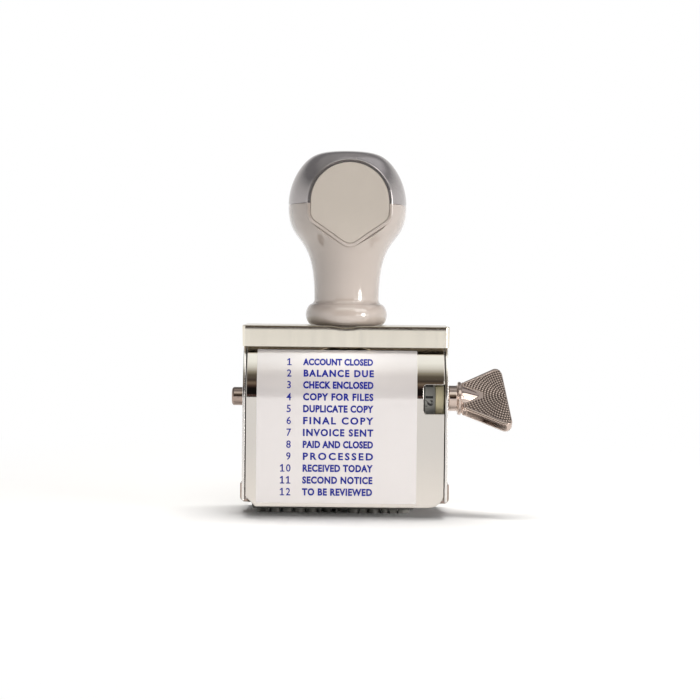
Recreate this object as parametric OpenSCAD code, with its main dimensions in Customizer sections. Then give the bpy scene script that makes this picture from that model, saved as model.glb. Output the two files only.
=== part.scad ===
// Rotary hand stamp: a rubber band with twelve rows of type runs over a drum and a platen.
// A wing key turns the drum, and a number dial in the window shows the row that prints.
// Millimetres, +Z up, X along the axle, front at -Y, origin on the print face under the handle.

/* [Body] */
// Width over the two cheeks of the frame
body_w = 54.8; // [50:0.2:70]
// Depth over the flat front and back of the hood
body_d = 26; // [24:0.5:34]
// Height of the lid's top above the print face
body_h = 51.2; // [48:0.2:60]
// Height of the axle above the print face
axle_z = 31.5; // [29:0.5:35]
// Radius of the hood's round shoulders
shoulder_r = 24; // [22:0.5:28]
// Width of the hood's flat roof between the shoulders
roof_flat = 11.58; // [10:0.02:13]

/* [Sheet metal] */
// Thickness of the frame's sheet
frame_t = 0.75; // [0.5:0.05:1.2]
// Outer radius of the bends between the frame's roof and cheeks
bend_r = 1.5; // [1.3:0.1:2.5]
// Step from the hood's face back to the cheek's edge
cheek_inset = 0.3; // [0:0.1:1]
// Height of the cheeks' lower edge
cheek_z = 4.4; // [4.1:0.1:5.2]
// Thickness of the hood's sheet
hood_t = 0.75; // [0.5:0.05:1.1]
// Gap between the hood's end and a cheek
hood_gap = 0.25; // [0.1:0.05:0.6]
// Height of the hood's lower edge
hood_z = 2.9; // [2.5:0.1:4]
// Slanted cut at the hood's lower left corners
corner_cut = 2.7; // [1:0.1:4]
// Radius of the hood's lower right corners
corner_r = 3.9; // [1:0.1:5]

/* [Window] */
// Distance of the window's left edge from the middle
window_x = 20.85; // [20:0.05:22]
// Height of the window
window_h = 7.7; // [6:0.1:9]
// Height of the window's middle above the axle
window_up = 0.45; // [-0.5:0.05:1]
// Radius of the window's corners
window_r = 0.8; // [0.4:0.1:1.5]

/* [Label] */
// Left edge of the label
label_x = -23.6; // [-25:0.1:-20]
// Width of the label
label_w = 42.7; // [36:0.1:43.5]
// Lower edge of the label
label_z = 4; // [4:0.1:8]
// Upper edge of the label
label_top = 44.7; // [38:0.1:45.2]
// Thickness of the label's card
label_t = 0.15; // [0.1:0.01:0.3]

/* [Lid] */
// Depth of the lid
lid_d = 22; // [20:0.2:25]
// Height of the lid's flanges
lid_h = 5.6; // [4:0.1:6.5]
// Thickness of the lid's sheet
lid_t = 0.4; // [0.3:0.05:0.8]
// Outward lean of each flange over its height
lid_draft = 0.15; // [0.05:0.05:0.5]
// Gap between the lid and a cheek
lid_gap = 0.05; // [0.02:0.01:0.3]
// Radius of the lid's upright corners
lid_corner_r = 1.2; // [0.8:0.1:2.5]
// Depth of the dish under the handle
dish_depth = 1.4; // [0.6:0.1:1.6]
// Diameter of the dish's floor
dish_floor_d = 19; // [18:0.5:20]
// Diameter of the dish's rim
dish_rim_d = 25; // [22:0.5:32]

/* [Handle] */
// Height of the handle above the dish
knob_h = 48.6; // [42:0.1:56]
// Greatest diameter of the ball
ball_d = 32.1; // [30:0.1:36]
// Height of the ball's widest place above the dish
equator_h = 33.9; // [31:0.1:36]
// Height by which the ball's full round would pass the flattened crown
crown_cut = 2.2; // [1:0.1:4]
// Sharpness of the turn from the ball to the crown
crown_power = 15; // [6:1:30]
// Diameter of the neck
neck_d = 17.6; // [16:0.2:20]
// Height at which the neck starts to flare
neck_h = 8.2; // [7.8:0.1:12]
// Diameter of the bead at the foot
bead_d = 22.1; // [20.5:0.1:24]
// Height of that bead
bead_h = 6.2; // [5:0.1:7]
// Diameter of the foot
foot_d = 17.4; // [15:0.2:17.6]
// Height of the foot below the bead
foot_h = 1.3; // [0.6:0.1:2]
// Height of the joint between grip and cap above the dish
cap_joint_h = 34; // [32:0.1:35]
// Turn of the handle about its own axis
handle_turn = 3.5; // [-180:0.5:180]
// Diameter of the spigot that the cap sits on
spigot_d = 18; // [14:0.2:19]
// Height of that spigot
spigot_h = 7; // [4:0.2:9]

/* [Plaque] */
// Distance of the plaque's face from the handle's axis
plaque_y = 11.75; // [11.5:0.05:12.4]
// Thickness of the plaque
plaque_t = 0.8; // [0.4:0.1:1.2]
// Radius of the plaque's round top
plaque_r = 10.5; // [9:0.1:11]
// Height of that round's centre above the dish
plaque_h = 34.5; // [33:0.1:36]
// Drop from that centre to the shield's shoulders
plaque_side = 2.8; // [1:0.1:5]
// Drop from that centre to the shield's point
plaque_point = 11; // [9:0.1:12]
// Radius of the shield's lower corners
plaque_corner_r = 3; // [1:0.1:4]
// Width of the border round the plaque
border_w = 1; // [0.5:0.1:1.6]
// Height of that border above the plaque's face
border_rise = 0.4; // [0.2:0.05:0.8]

/* [Handle screw] */
// Diameter of the screw
screw_d = 5; // [4:0.1:6]
// Length of the screw below its head
screw_l = 14; // [10:0.5:18]
// Diameter of the screw's head
screw_head_d = 9.2; // [8:0.1:11]
// Height of the screw's head
screw_head_h = 2.8; // [2:0.1:3.2]
// Width of the slot in the screw's head
slot_w = 1.2; // [0.8:0.1:1.6]
// Depth of that slot
slot_depth = 1.3; // [0.8:0.1:1.8]
// Diameter of the lock washer
washer_d = 9.6; // [8.5:0.1:11]
// Thickness of the lock washer
washer_t = 0.9; // [0.5:0.1:1.2]
// Diameter of the bush in the grip
insert_d = 9; // [8:0.1:11]
// Length of the bush
insert_l = 13; // [10:0.5:18]
// Room in the bush past the screw's end
screw_room = 1; // [0.5:0.1:2]
// Radial gap round the screw in the sheets
screw_gap = 0.25; // [0.1:0.05:0.5]

/* [Axle and drum] */
// Diameter of the axle
axle_d = 5; // [4:0.1:6]
// Length of the axle's end past the left cheek
axle_end = 3.6; // [2:0.1:6]
// Radius of the rounded edge of that end
axle_round = 0.7; // [0.3:0.1:1]
// Running gap round the axle in the cheeks
axle_gap = 0.05; // [0.02:0.01:0.1]
// Gap of a piece that is fixed on the axle
seat_gap = 0.02; // [0.01:0.01:0.05]
// Diameter of the drum
drum_d = 12.2; // [11:0.1:13.5]
// Number of flutes in the drum
flute_count = 18; // [12:1:24]
// Radius of a flute
flute_r = 0.5; // [0.3:0.05:0.7]
// Diameter of the drum's cross pin
drum_pin_d = 1.6; // [1:0.1:2]
// Depth of that pin's ends below the drum's surface
drum_pin_sink = 1; // [0.8:0.1:1.5]
// Thickness of the clip inside the left cheek
clip_t = 0.7; // [0.4:0.05:0.8]
// Diameter of that clip
clip_d = 9; // [7.5:0.1:11]
// Depth of the clip's groove in the axle
groove_depth = 0.5; // [0.3:0.05:0.7]
// Play on each side of the clip
clip_play = 0.1; // [0.05:0.01:0.2]
// Amount by which the clip's mouth is narrower than the groove
clip_snap = 0.4; // [0.2:0.1:0.8]

/* [Dial and index] */
// Diameter of the number dial
dial_d = 18.6; // [16:0.1:20]
// Width of the number dial
dial_w = 3.1; // [2:0.1:3.3]
// Diameter of the index wheel
index_d = 19; // [17:0.1:20]
// Width of the index wheel
index_w = 2.2; // [1.5:0.1:2.4]
// Gap between the index wheel and the right cheek
index_gap = 0.25; // [0.15:0.05:0.5]
// Number of stations per turn
station_count = 6; // [4:1:8]
// Radius of the notches in the index wheel
notch_r = 1.2; // [0.8:0.1:1.5]
// Width of the index spring
spring_w = 1.6; // [1:0.1:2]
// Thickness of the index spring
spring_t = 0.35; // [0.2:0.05:0.5]
// Diameter of the spring's rivet
spring_rivet_d = 1.1; // [0.8:0.1:1.3]
// Height of that rivet's head
spring_rivet_h = 0.6; // [0.4:0.1:1]
// Gap between the spring's round bend and the hood's wall
spring_wall_gap = 0.15; // [0.1:0.05:0.5]
// Gap between the spring's nose and its notch
nose_gap = 0.3; // [0.2:0.05:0.4]

/* [Key] */
// Diameter of the key's neck
key_neck_d = 7; // [6.4:0.1:8]
// Length of the key's neck
key_neck_l = 2.6; // [2.2:0.1:4]
// Diameter of the key's flange
key_flange_d = 9.1; // [8:0.1:10]
// Thickness of the key's flange
key_flange_t = 1.05; // [0.6:0.05:1.6]
// Length of the key's round nose past the flange
key_nose_l = 5.6; // [4:0.1:7]
// Length of the key's wing past the flange
key_wing_l = 13.2; // [10:0.1:16]
// Span of the wing at its outer edge
key_span = 20; // [16:0.2:24]
// Thickness of the wing
key_wing_t = 3; // [1.4:0.1:3.6]
// Radius of the wing's corners
key_corner_r = 1.9; // [1:0.1:2.5]
// Lean of the wing's upper half to the back at rest
key_roll = 45; // [-90:1:90]
// Step from the flange's edge in to the nose and the wing
key_root_step = 0.2; // [0.1:0.05:0.6]
// Length of the wing's straight root
key_root_l = 1; // [0.5:0.1:2]
// Diameter of the pin through the key's neck
key_pin_d = 1.4; // [0.8:0.1:1.8]
// Depth of that pin's ends below the neck's surface
key_pin_sink = 0.1; // [0.05:0.05:0.4]
// Length of the axle's end past the key's flange
axle_grip = 1; // [0.5:0.1:2]
// Thickness of the washer under the key
thrust_t = 0.5; // [0.3:0.05:0.8]
// Diameter of that washer
thrust_d = 8.2; // [7.5:0.1:10]
// End play of the key
key_play = 0.05; // [0.03:0.01:0.1]

/* [Type band] */
// Width of the band
band_w = 43.8; // [36:0.2:44.2]
// Middle of the band along the axle
band_x = -3.1; // [-3.4:0.05:-2.8]
// Thickness of the band under the type
band_t = 1.6; // [1.2:0.1:2]
// Height of the raised type
type_h = 1.3; // [0.8:0.1:1.6]
// Height of a letter across the row
type_size = 4.5; // [3.5:0.1:5]
// Number of type rows on the band
row_count = 12; // [8:1:12]
// Letters in a row
letter_count = 13; // [9:1:15]
// Letters from one word space to the next
word_l = 6; // [4:1:8]
// Room at each end of a row
row_margin = 0.9; // [0.5:0.1:2]
// Space between letters
letter_gap = 0.6; // [0.3:0.1:1]
// Running gap between the drum and the band
band_gap = 0.3; // [0.2:0.05:0.6]

/* [Platen] */
// Width of the platen's flat
platen_flat = 6.4; // [5:0.2:8]
// Radius of the platen's rolled edges
platen_edge_r = 1.3; // [1.2:0.1:2]
// Height of the platen's rolled edges
platen_h = 3.2; // [2.4:0.1:4]
// Thickness of the platen's sheet
platen_t = 0.8; // [0.5:0.05:1]
// Height of the bent ears
ear_h = 5.1; // [4:0.1:7]
// Width of the bent ears
ear_w = 6; // [4:0.2:6.4]
// Gap between an ear and its cheek
ear_gap = 0.25; // [0.1:0.05:0.4]
// Outer radius of the ears' bends
ear_bend_r = 1.4; // [1:0.1:2]
// Diameter of the ears' rivets
ear_rivet_d = 1.6; // [1:0.1:2]
// Height of those rivets above the platen's face
ear_rivet_h = 3.4; // [2.6:0.1:4]

/* [Hidden] */
$fn = 96;
// A cut passes this far beyond the faces that it opens
over = 1;

// Heights of the stacked sheets under the handle
dish_z = body_h - dish_depth;
web_top = dish_z - lid_t;
hood_top = web_top - frame_t;
roof_z = hood_top - hood_t;
head_top = roof_z - washer_t;
lip_z = body_h - lid_h;

// The shoulders rise from the flat sides to the roof's flat
shoulder_in = shoulder_r - (body_d - roof_flat) / 2;
shoulder_z = hood_top - sqrt(shoulder_r * shoulder_r - shoulder_in * shoulder_in);
shoulder_y = shoulder_r - body_d / 2;

// Places along the axle
cheek_x = body_w / 2;
cheek_in = cheek_x - frame_t;
hood_x = cheek_in - hood_gap;
index_x1 = cheek_in - index_gap;
index_x0 = index_x1 - index_w;
dial_x0 = index_x0 - dial_w;
band_x0 = band_x - band_w / 2;
band_x1 = band_x + band_w / 2;
clip_x0 = -cheek_in + clip_play;
drum_x0 = clip_x0 + clip_t + clip_play;
thrust_x = cheek_x + thrust_t;
neck_x0 = thrust_x + key_play;
flange_x0 = neck_x0 + key_neck_l;
flange_x1 = flange_x0 + key_flange_t;
axle_x0 = -cheek_x - axle_end;
axle_x1 = flange_x1 + axle_grip;
axle_r = axle_d / 2;
drum_mid = (drum_x0 + dial_x0) / 2;
key_pin_x = neck_x0 + key_neck_l / 2;
key_root_r = key_flange_d / 2 - key_root_step;

// Places of the index spring, which hangs from the hood's roof over the index wheel
spring_x = index_x0 + index_w / 2;
nose_r = notch_r - nose_gap;
nose_z = axle_z + index_d / 2;
turn_r = (roof_z - nose_z - nose_r) / 2;
bend_reach = shoulder_r - hood_t - spring_wall_gap - turn_r;
spring_tab_l = sqrt(pow(bend_reach, 2) - pow(roof_z - turn_r - shoulder_z, 2)) - shoulder_y;
spring_rivet_y = spring_tab_l / 2;

// Places of the platen and of the band that runs round it
platen_z = type_h + band_t;
edge_y = platen_flat / 2;
edge_z = platen_z + platen_edge_r;
drum_run_r = drum_d / 2 + band_gap;
strand_dy = -edge_y;
strand_dz = axle_z - edge_z;
strand_span = sqrt(strand_dy * strand_dy + strand_dz * strand_dz);
strand_lean = atan2(strand_dz, strand_dy) - acos((platen_edge_r - drum_run_r) / strand_span);
strand_l = sqrt(pow(strand_span, 2) - pow(drum_run_r - platen_edge_r, 2));
edge_turn = strand_lean + 90;
drum_turn = 90 - strand_lean;
mid_t = band_t / 2;
edge_arc = (platen_edge_r + mid_t) * edge_turn * PI / 180;
drum_arc = (drum_run_r + mid_t) * drum_turn * PI / 180;
half_loop = edge_y + edge_arc + strand_l + drum_arc;
row_pitch = 2 * half_loop / row_count;
letter_pitch = (band_w - 2 * row_margin) / letter_count;

// Shape of the handle
neck_r = neck_d / 2;
ball_r = ball_d / 2;
bead_mid = foot_h + bead_h / 2;
flare_low_pull = 0.765;
flare_high_pull = 0.465;
curve_steps = 14;

// Draws a Y-Z section along X from x0 to x1
module along_x(x0, x1) {
  translate([x0, 0, 0]) rotate([90, 0, 90]) linear_extrude(x1 - x0) children();
}

// Draws an X-Z section along Y from y0 to y1
module along_y(y0, y1) {
  translate([0, y1, 0]) rotate([90, 0, 0]) linear_extrude(y1 - y0) children();
}

// A round bar along X through the axle's line
module bar_x(x0, x1, r) {
  translate([x0, 0, axle_z]) rotate([0, 90, 0]) cylinder(h = x1 - x0, r = r);
}

// A plate with round upper corners, standing on y = 0
module arch(half, h, r) {
  translate([-half, 0]) square([2 * half, h - r]);
  translate([r - half, 0]) square([2 * (half - r), h]);
  for (side = [-1, 1]) translate([side * (half - r), h - r]) circle(r);
}

// A sheet bent into a U that opens downwards
module bent_u(half, h, r, t) {
  difference() {
    arch(half, h, r);
    translate([0, -over]) arch(half - t, h - t + over, r - t);
  }
}

// Section of the body: flat sides with round shoulders above them
module body_section(inset, low, top) {
  half = body_d / 2 - inset;
  r = shoulder_r - inset;
  translate([-half, low]) square([2 * half, shoulder_z - low]);
  intersection() {
    translate([shoulder_y, shoulder_z]) circle(r);
    translate([-shoulder_y, shoulder_z]) circle(r);
    translate([-half, shoulder_z]) square([2 * half, top - shoulder_z]);
  }
}

// The hole for the handle's screw through all sheets
module screw_hole() {
  hole_h = web_top - roof_z + dish_depth + 2 * over;
  translate([0, 0, roof_z - over]) cylinder(h = hole_h, r = screw_d / 2 + screw_gap);
}

// A curve between two places that leaves and arrives upright
function flare(t) =
  let (rise = equator_h - neck_h,
       z1 = neck_h + rise * flare_low_pull,
       z2 = equator_h - rise * flare_high_pull,
       u = 1 - t)
  [
    neck_r * (u * u * u + 3 * u * u * t) + ball_r * (3 * u * t * t + t * t * t),
    neck_h * u * u * u + 3 * z1 * u * u * t + 3 * z2 * u * t * t + equator_h * t * t * t
  ];

// The ball's dome, from its widest place to its crown: an ellipse that a flat top cuts softly
function dome(a) =
  let (rise = knob_h - equator_h,
       full = rise + crown_cut,
       flat = pow(pow(rise, -crown_power) - pow(full, -crown_power), -1 / crown_power),
       round = 1 / sqrt(pow(cos(a) / ball_r, 2) + pow(sin(a) / full, 2)),
       reach = pow(pow(round, -crown_power) + pow(sin(a) / flat, crown_power), -1 / crown_power))
  [reach * cos(a), equator_h + reach * sin(a)];

// The bead at the foot, from its lower to its upper edge
function bead(a) = [
  neck_r + (bead_d / 2 - neck_r) * cos(a),
  bead_mid + bead_h / 2 * sin(a)
];

// The whole turned shape of the handle
module handle_form() {
  rotate([0, 0, handle_turn]) translate([0, 0, dish_z]) rotate_extrude() polygon(concat(
    [[0, 0], [foot_d / 2, 0], [foot_d / 2, foot_h]],
    [for (i = [0 : curve_steps]) bead(-90 + 180 * i / curve_steps)],
    [for (i = [0 : curve_steps]) flare(i / curve_steps)],
    [for (i = [1 : curve_steps - 1]) dome(90 * i / curve_steps)],
    [[0, knob_h]]
  ));
}

// Outline of the shield-shaped plaque, grown by a margin
module shield(margin) {
  shoulder_x = plaque_r - plaque_corner_r;
  hull() {
    intersection() {
      circle(plaque_r + margin, $fn = 48);
      translate([-ball_r, 0]) square(2 * ball_r);
    }
    for (side = [-1, 1])
      translate([side * shoulder_x, -plaque_side]) circle(plaque_corner_r + margin, $fn = 24);
    translate([0, plaque_corner_r - plaque_point]) circle(plaque_corner_r + margin, $fn = 24);
  }
}

// Places a shield outline on the front (turn 0) or the back (turn 180) of the handle
module on_ball(turn, y) {
  rotate([0, 0, handle_turn + turn]) translate([0, -y, dish_z + plaque_h])
    rotate([90, 0, 0]) children();
}

// The seats of both plaques, each with a shallow ledge for its border
module plaque_seats() {
  for (turn = [0, 180]) {
    on_ball(turn, plaque_y - plaque_t) linear_extrude(ball_r) shield(seat_gap);
    on_ball(turn, plaque_y + border_rise) linear_extrude(ball_r) shield(border_w);
  }
}

module plaque(turn) {
  color("lightgray") on_ball(turn, plaque_y - plaque_t) linear_extrude(plaque_t) shield(0);
}

// The space above or below the joint between the grip and its cap
module above_joint() {
  translate([-ball_d, -ball_d, dish_z + cap_joint_h]) cube([2 * ball_d, 2 * ball_d, knob_h]);
}

module spigot(gap) {
  translate([0, 0, dish_z + cap_joint_h - over])
    cylinder(h = spigot_h + over + gap, r = spigot_d / 2 + gap);
}

module handle_grip() {
  color([0.83, 0.79, 0.76]) difference() {
    union() {
      difference() {
        handle_form();
        above_joint();
        plaque_seats();
      }
      spigot(0);
    }
    translate([0, 0, dish_z - over]) cylinder(h = insert_l + over, r = insert_d / 2 + seat_gap);
  }
}

module handle_cap() {
  color([0.6, 0.57, 0.58]) difference() {
    intersection() {
      handle_form();
      above_joint();
    }
    spigot(seat_gap);
    plaque_seats();
  }
}

module front_plaque() {
  plaque(0);
}

module rear_plaque() {
  plaque(180);
}

module handle_insert() {
  bore_l = screw_l - (dish_z - head_top) + screw_room;
  color("goldenrod") translate([0, 0, dish_z]) difference() {
    cylinder(h = insert_l, r = insert_d / 2);
    translate([0, 0, -over]) cylinder(h = bore_l + over, r = screw_d / 2 + seat_gap);
  }
}

module handle_screw() {
  color("silver") difference() {
    union() {
      translate([0, 0, head_top - screw_head_h]) cylinder(h = screw_head_h, r = screw_head_d / 2);
      translate([0, 0, head_top]) cylinder(h = screw_l, r = screw_d / 2);
    }
    translate([-screw_head_d, -slot_w / 2, head_top - screw_head_h - over])
      cube([2 * screw_head_d, slot_w, slot_depth + over]);
  }
}

module lock_washer() {
  color("gray") translate([0, 0, head_top]) difference() {
    cylinder(h = washer_t, r = washer_d / 2);
    translate([0, 0, -over]) cylinder(h = washer_t + 2 * over, r = screw_d / 2 + screw_gap);
  }
}

// The lid's block: four round corners, wider at the lip than at the top
module lid_block(half_x, half_y, r, low, top) {
  hull()
    for (sx = [-1, 1], sy = [-1, 1])
      translate([sx * (half_x - r), sy * (half_y - r), low])
        cylinder(h = top - low, r1 = r + lid_draft, r2 = r, $fn = 32);
}

module lid() {
  half_x = cheek_x + lid_gap + lid_t;
  half_y = lid_d / 2;
  rim_r = dish_rim_d / 2;
  floor_r = dish_floor_d / 2;
  color([0.86, 0.85, 0.8]) difference() {
    union() {
      difference() {
        lid_block(half_x, half_y, lid_corner_r, lip_z, body_h);
        translate([0, 0, -over])
          lid_block(half_x - lid_t, half_y - lid_t, lid_corner_r - lid_t, lip_z,
                    body_h - lid_t + over);
      }
      intersection() {
        lid_block(half_x, half_y, lid_corner_r, lip_z, body_h);
        translate([0, 0, web_top]) cylinder(h = body_h - web_top, r1 = floor_r, r2 = rim_r);
      }
    }
    translate([0, 0, dish_z]) cylinder(h = dish_depth, r1 = floor_r, r2 = rim_r);
    screw_hole();
  }
}

module axle_hole() {
  bar_x(-cheek_x - over, cheek_x + over, axle_r + axle_gap);
}

// The two rivets through the ears and the cheeks
module ear_rivets(gap) {
  outer = cheek_x + ear_gap + platen_t;
  for (side = [-1, 1])
    translate([side * (outer + cheek_in) / 2, 0, platen_z + ear_rivet_h])
      rotate([0, 90, 0])
        cylinder(h = outer - cheek_in + 2 * gap, r = ear_rivet_d / 2 + gap, center = true);
}

module frame() {
  color([0.8, 0.79, 0.77]) difference() {
    intersection() {
      along_x(-cheek_x, cheek_x) body_section(cheek_inset, cheek_z, web_top);
      along_y(-body_d, body_d) translate([0, cheek_z])
        bent_u(cheek_x, web_top - cheek_z, bend_r, frame_t);
    }
    axle_hole();
    ear_rivets(seat_gap);
    screw_hole();
  }
}

// The notch in the hood's right edge that shows the dial
module window_cut() {
  r = window_r;
  low = axle_z + window_up - window_h / 2;
  along_y(-body_d, -body_d / 4) {
    translate([window_x + r, low]) square([hood_x + over - window_x - r, window_h]);
    translate([window_x, low + r]) square([r + over, window_h - 2 * r]);
    for (z = [low + r, low + window_h - r]) translate([window_x + r, z]) circle(r);
  }
}

// The slanted and the round lower corners of the hood, cut through both walls
module corner_cuts() {
  along_y(-body_d, body_d) {
    translate([-hood_x, hood_z])
      polygon([[-over, -over], [corner_cut + over, -over], [-over, corner_cut + over]]);
    difference() {
      translate([hood_x - corner_r, hood_z - over]) square([corner_r + over, corner_r + over]);
      translate([hood_x - corner_r, hood_z + corner_r]) circle(corner_r);
    }
  }
}

module hood() {
  color([0.84, 0.82, 0.79]) difference() {
    along_x(-hood_x, hood_x) difference() {
      body_section(0, hood_z, hood_top);
      body_section(hood_t, hood_z - over, roof_z);
    }
    window_cut();
    corner_cuts();
    screw_hole();
    spring_hole();
  }
}

module label() {
  color("white") intersection() {
    along_x(label_x, label_x + label_w) difference() {
      body_section(-label_t, label_z, hood_top);
      body_section(0, label_z - over, hood_top + over);
    }
    translate([label_x, -body_d, label_z]) cube([label_w, body_d, label_top - label_z]);
  }
}

module axle() {
  color([0.62, 0.55, 0.52]) translate([0, 0, axle_z]) rotate([0, 90, 0]) difference() {
    translate([0, 0, axle_x0]) rotate_extrude() {
      translate([0, axle_round]) square([axle_r, axle_x1 - axle_x0 - axle_round]);
      square([axle_r - axle_round, axle_round]);
      translate([axle_r - axle_round, axle_round]) circle(axle_round);
    }
    translate([0, 0, clip_x0]) difference() {
      cylinder(h = clip_t, r = axle_r + over);
      translate([0, 0, -over]) cylinder(h = clip_t + 2 * over, r = axle_r - groove_depth);
    }
    pin_bore(drum_mid, drum_pin_d / 2 + seat_gap, drum_d);
    pin_bore(key_pin_x, key_pin_d / 2 + seat_gap, key_neck_d);
  }
}

// A cross bore through the axle, which lies along Z here
module pin_bore(x, r, l) {
  translate([0, -l, x]) rotate([-90, 0, 0]) cylinder(h = 2 * l, r = r);
}

module drum() {
  color([0.25, 0.25, 0.27]) translate([0, 0, axle_z]) rotate([0, 90, 0]) difference() {
    translate([0, 0, drum_x0]) cylinder(h = dial_x0 - drum_x0, r = drum_d / 2);
    translate([0, 0, drum_x0 - over])
      cylinder(h = dial_x0 - drum_x0 + 2 * over, r = axle_r + seat_gap);
    for (i = [0 : flute_count - 1])
      rotate([0, 0, 360 * (i + 0.5) / flute_count]) translate([drum_d / 2, 0, drum_x0 - over])
        cylinder(h = dial_x0 - drum_x0 + 2 * over, r = flute_r, $fn = 24);
    pin_bore(drum_mid, drum_pin_d / 2 + seat_gap, drum_d);
  }
}

module drum_pin() {
  pin_l = drum_d - 2 * drum_pin_sink;
  color("silver") translate([drum_mid, -pin_l / 2, axle_z]) rotate([-90, 0, 0])
    cylinder(h = pin_l, r = drum_pin_d / 2);
}

module retaining_clip() {
  mouth = 2 * (axle_r - groove_depth) - clip_snap;
  color("gray") translate([clip_x0, 0, axle_z]) rotate([0, 90, 0]) difference() {
    cylinder(h = clip_t, r = clip_d / 2);
    translate([0, 0, -over]) cylinder(h = clip_t + 2 * over, r = axle_r - groove_depth + seat_gap);
    translate([0, -mouth / 2, -over]) cube([clip_d, mouth, clip_t + 2 * over]);
  }
}

// A wheel on the axle
module wheel(x, w, d) {
  difference() {
    bar_x(x, x + w, d / 2);
    bar_x(x - over, x + w + over, axle_r + seat_gap);
  }
}

module number_dial() {
  color("gray") wheel(dial_x0, dial_w, dial_d);
}

module index_wheel() {
  color("beige") difference() {
    wheel(index_x0, index_w, index_d);
    for (i = [0 : station_count - 1])
      translate([0, 0, axle_z]) rotate([360 * i / station_count, 0, 0])
        translate([index_x0 - over, 0, index_d / 2]) rotate([0, 90, 0])
          cylinder(h = index_w + 2 * over, r = notch_r, $fn = 48);
  }
}

module spring_hole() {
  translate([spring_x, spring_rivet_y, roof_z - over])
    cylinder(h = hood_t + frame_t + over, r = spring_rivet_d / 2 + seat_gap);
}

// Half of a round bend of the spring, open towards -Y
module spring_bend(r) {
  difference() {
    circle(r);
    circle(r - spring_t);
    translate([-2 * r, -r - over]) square([2 * r, 2 * (r + over)]);
  }
}

module index_spring() {
  leaf_z = roof_z - 2 * turn_r;
  color("lightsteelblue") difference() {
    along_x(spring_x - spring_w / 2, spring_x + spring_w / 2) {
      translate([0, roof_z - spring_t]) square([spring_tab_l, spring_t]);
      translate([spring_tab_l, roof_z - turn_r]) spring_bend(turn_r);
      translate([0, leaf_z]) square([spring_tab_l, spring_t]);
      translate([0, nose_z]) difference() {
        circle(nose_r);
        circle(nose_r - spring_t);
        translate([-nose_r - over, spring_t]) square([2 * (nose_r + over), nose_r + over]);
      }
      translate([nose_r - spring_t, nose_z]) square([spring_t, leaf_z + spring_t - nose_z]);
    }
    spring_hole();
  }
}

module spring_rivet() {
  color("silver") translate([spring_x, spring_rivet_y, roof_z - spring_t - spring_rivet_h]) {
    cylinder(h = spring_rivet_h, r = spring_w / 2);
    cylinder(h = spring_rivet_h + spring_t + hood_t, r = spring_rivet_d / 2);
  }
}

module thrust_washer() {
  color("silver") difference() {
    bar_x(cheek_x, thrust_x, thrust_d / 2);
    bar_x(cheek_x - over, thrust_x + over, axle_r + axle_gap);
  }
}

// Outline of the key's wing, from the flange outwards
module wing_outline() {
  hull() {
    translate([0, -key_root_r]) square([key_root_l, 2 * key_root_r]);
    for (side = [-1, 1])
      translate([key_wing_l - key_corner_r, side * (key_span / 2 - key_corner_r)])
        circle(key_corner_r, $fn = 32);
  }
}

module key() {
  color([0.66, 0.55, 0.5]) difference() {
    union() {
      bar_x(neck_x0, flange_x0, key_neck_d / 2);
      bar_x(flange_x0, flange_x1, key_flange_d / 2);
      translate([flange_x1, 0, axle_z]) rotate([0, 90, 0])
        cylinder(h = key_nose_l, r1 = key_root_r, r2 = key_wing_t / 2);
      translate([flange_x1, 0, axle_z]) rotate([90 - key_roll, 0, 0])
        translate([0, 0, -key_wing_t / 2]) linear_extrude(key_wing_t) wing_outline();
    }
    bar_x(neck_x0 - over, axle_x1 + seat_gap, axle_r + seat_gap);
    translate([0, 0, axle_z]) rotate([0, 90, 0])
      pin_bore(key_pin_x, key_pin_d / 2 + seat_gap, key_neck_d);
  }
}

module key_pin() {
  half = key_neck_d / 2 - key_pin_sink;
  color("dimgray") translate([key_pin_x, -half, axle_z]) rotate([-90, 0, 0])
    cylinder(h = 2 * half, r = key_pin_d / 2);
}

// Section enclosed by the band's inner face, grown by a margin
module loop_section(margin) {
  hull() {
    translate([0, axle_z]) circle(drum_run_r + margin);
    for (side = [-1, 1]) translate([side * edge_y, edge_z]) circle(platen_edge_r + margin);
  }
}

// Place [y, z, outward angle] on the band's outer face, a length s from the middle of the platen
function band_place(s) =
  s > half_loop ? let (p = band_place(2 * half_loop - s)) [-p[0], p[1], 180 - p[2]] :
  s <= edge_y ? [s, platen_z - band_t, -90] :
  s <= edge_y + edge_arc ?
    let (a = -90 + (s - edge_y) / (platen_edge_r + mid_t) * 180 / PI, r = platen_edge_r + band_t)
    [edge_y + r * cos(a), edge_z + r * sin(a), a] :
  s <= edge_y + edge_arc + strand_l ?
    let (t = s - edge_y - edge_arc, a = strand_lean, r = platen_edge_r + band_t)
    [edge_y + r * cos(a) - t * sin(a), edge_z + r * sin(a) + t * cos(a), a] :
    let (a = strand_lean + (s - edge_y - edge_arc - strand_l) / (drum_run_r + mid_t) * 180 / PI,
         r = drum_run_r + band_t)
    [r * cos(a), axle_z + r * sin(a), a];

// One row of raised type, with word spaces that differ from row to row
module type_row(row) {
  for (i = [0 : letter_count - 1])
    if ((i + row) % word_l != word_l - 1)
      translate([band_x0 + row_margin + i * letter_pitch + letter_gap / 2, -type_size / 2, -mid_t])
        cube([letter_pitch - letter_gap, type_size, mid_t + type_h]);
}

module type_band() {
  color([0.3, 0.31, 0.28]) {
    along_x(band_x0, band_x1) difference() {
      loop_section(band_t);
      loop_section(0);
    }
    for (row = [0 : row_count - 1])
      let (p = band_place(row * row_pitch))
        translate([0, p[0], p[1]]) rotate([p[2] - 90, 0, 0]) type_row(row);
  }
}

// Section of the platen's channel: a flat with two rolled edges
module channel_section() {
  half = edge_y + platen_edge_r;
  translate([0, platen_z + platen_h]) mirror([0, 1]) bent_u(half, platen_h, platen_edge_r, platen_t);
}

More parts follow.
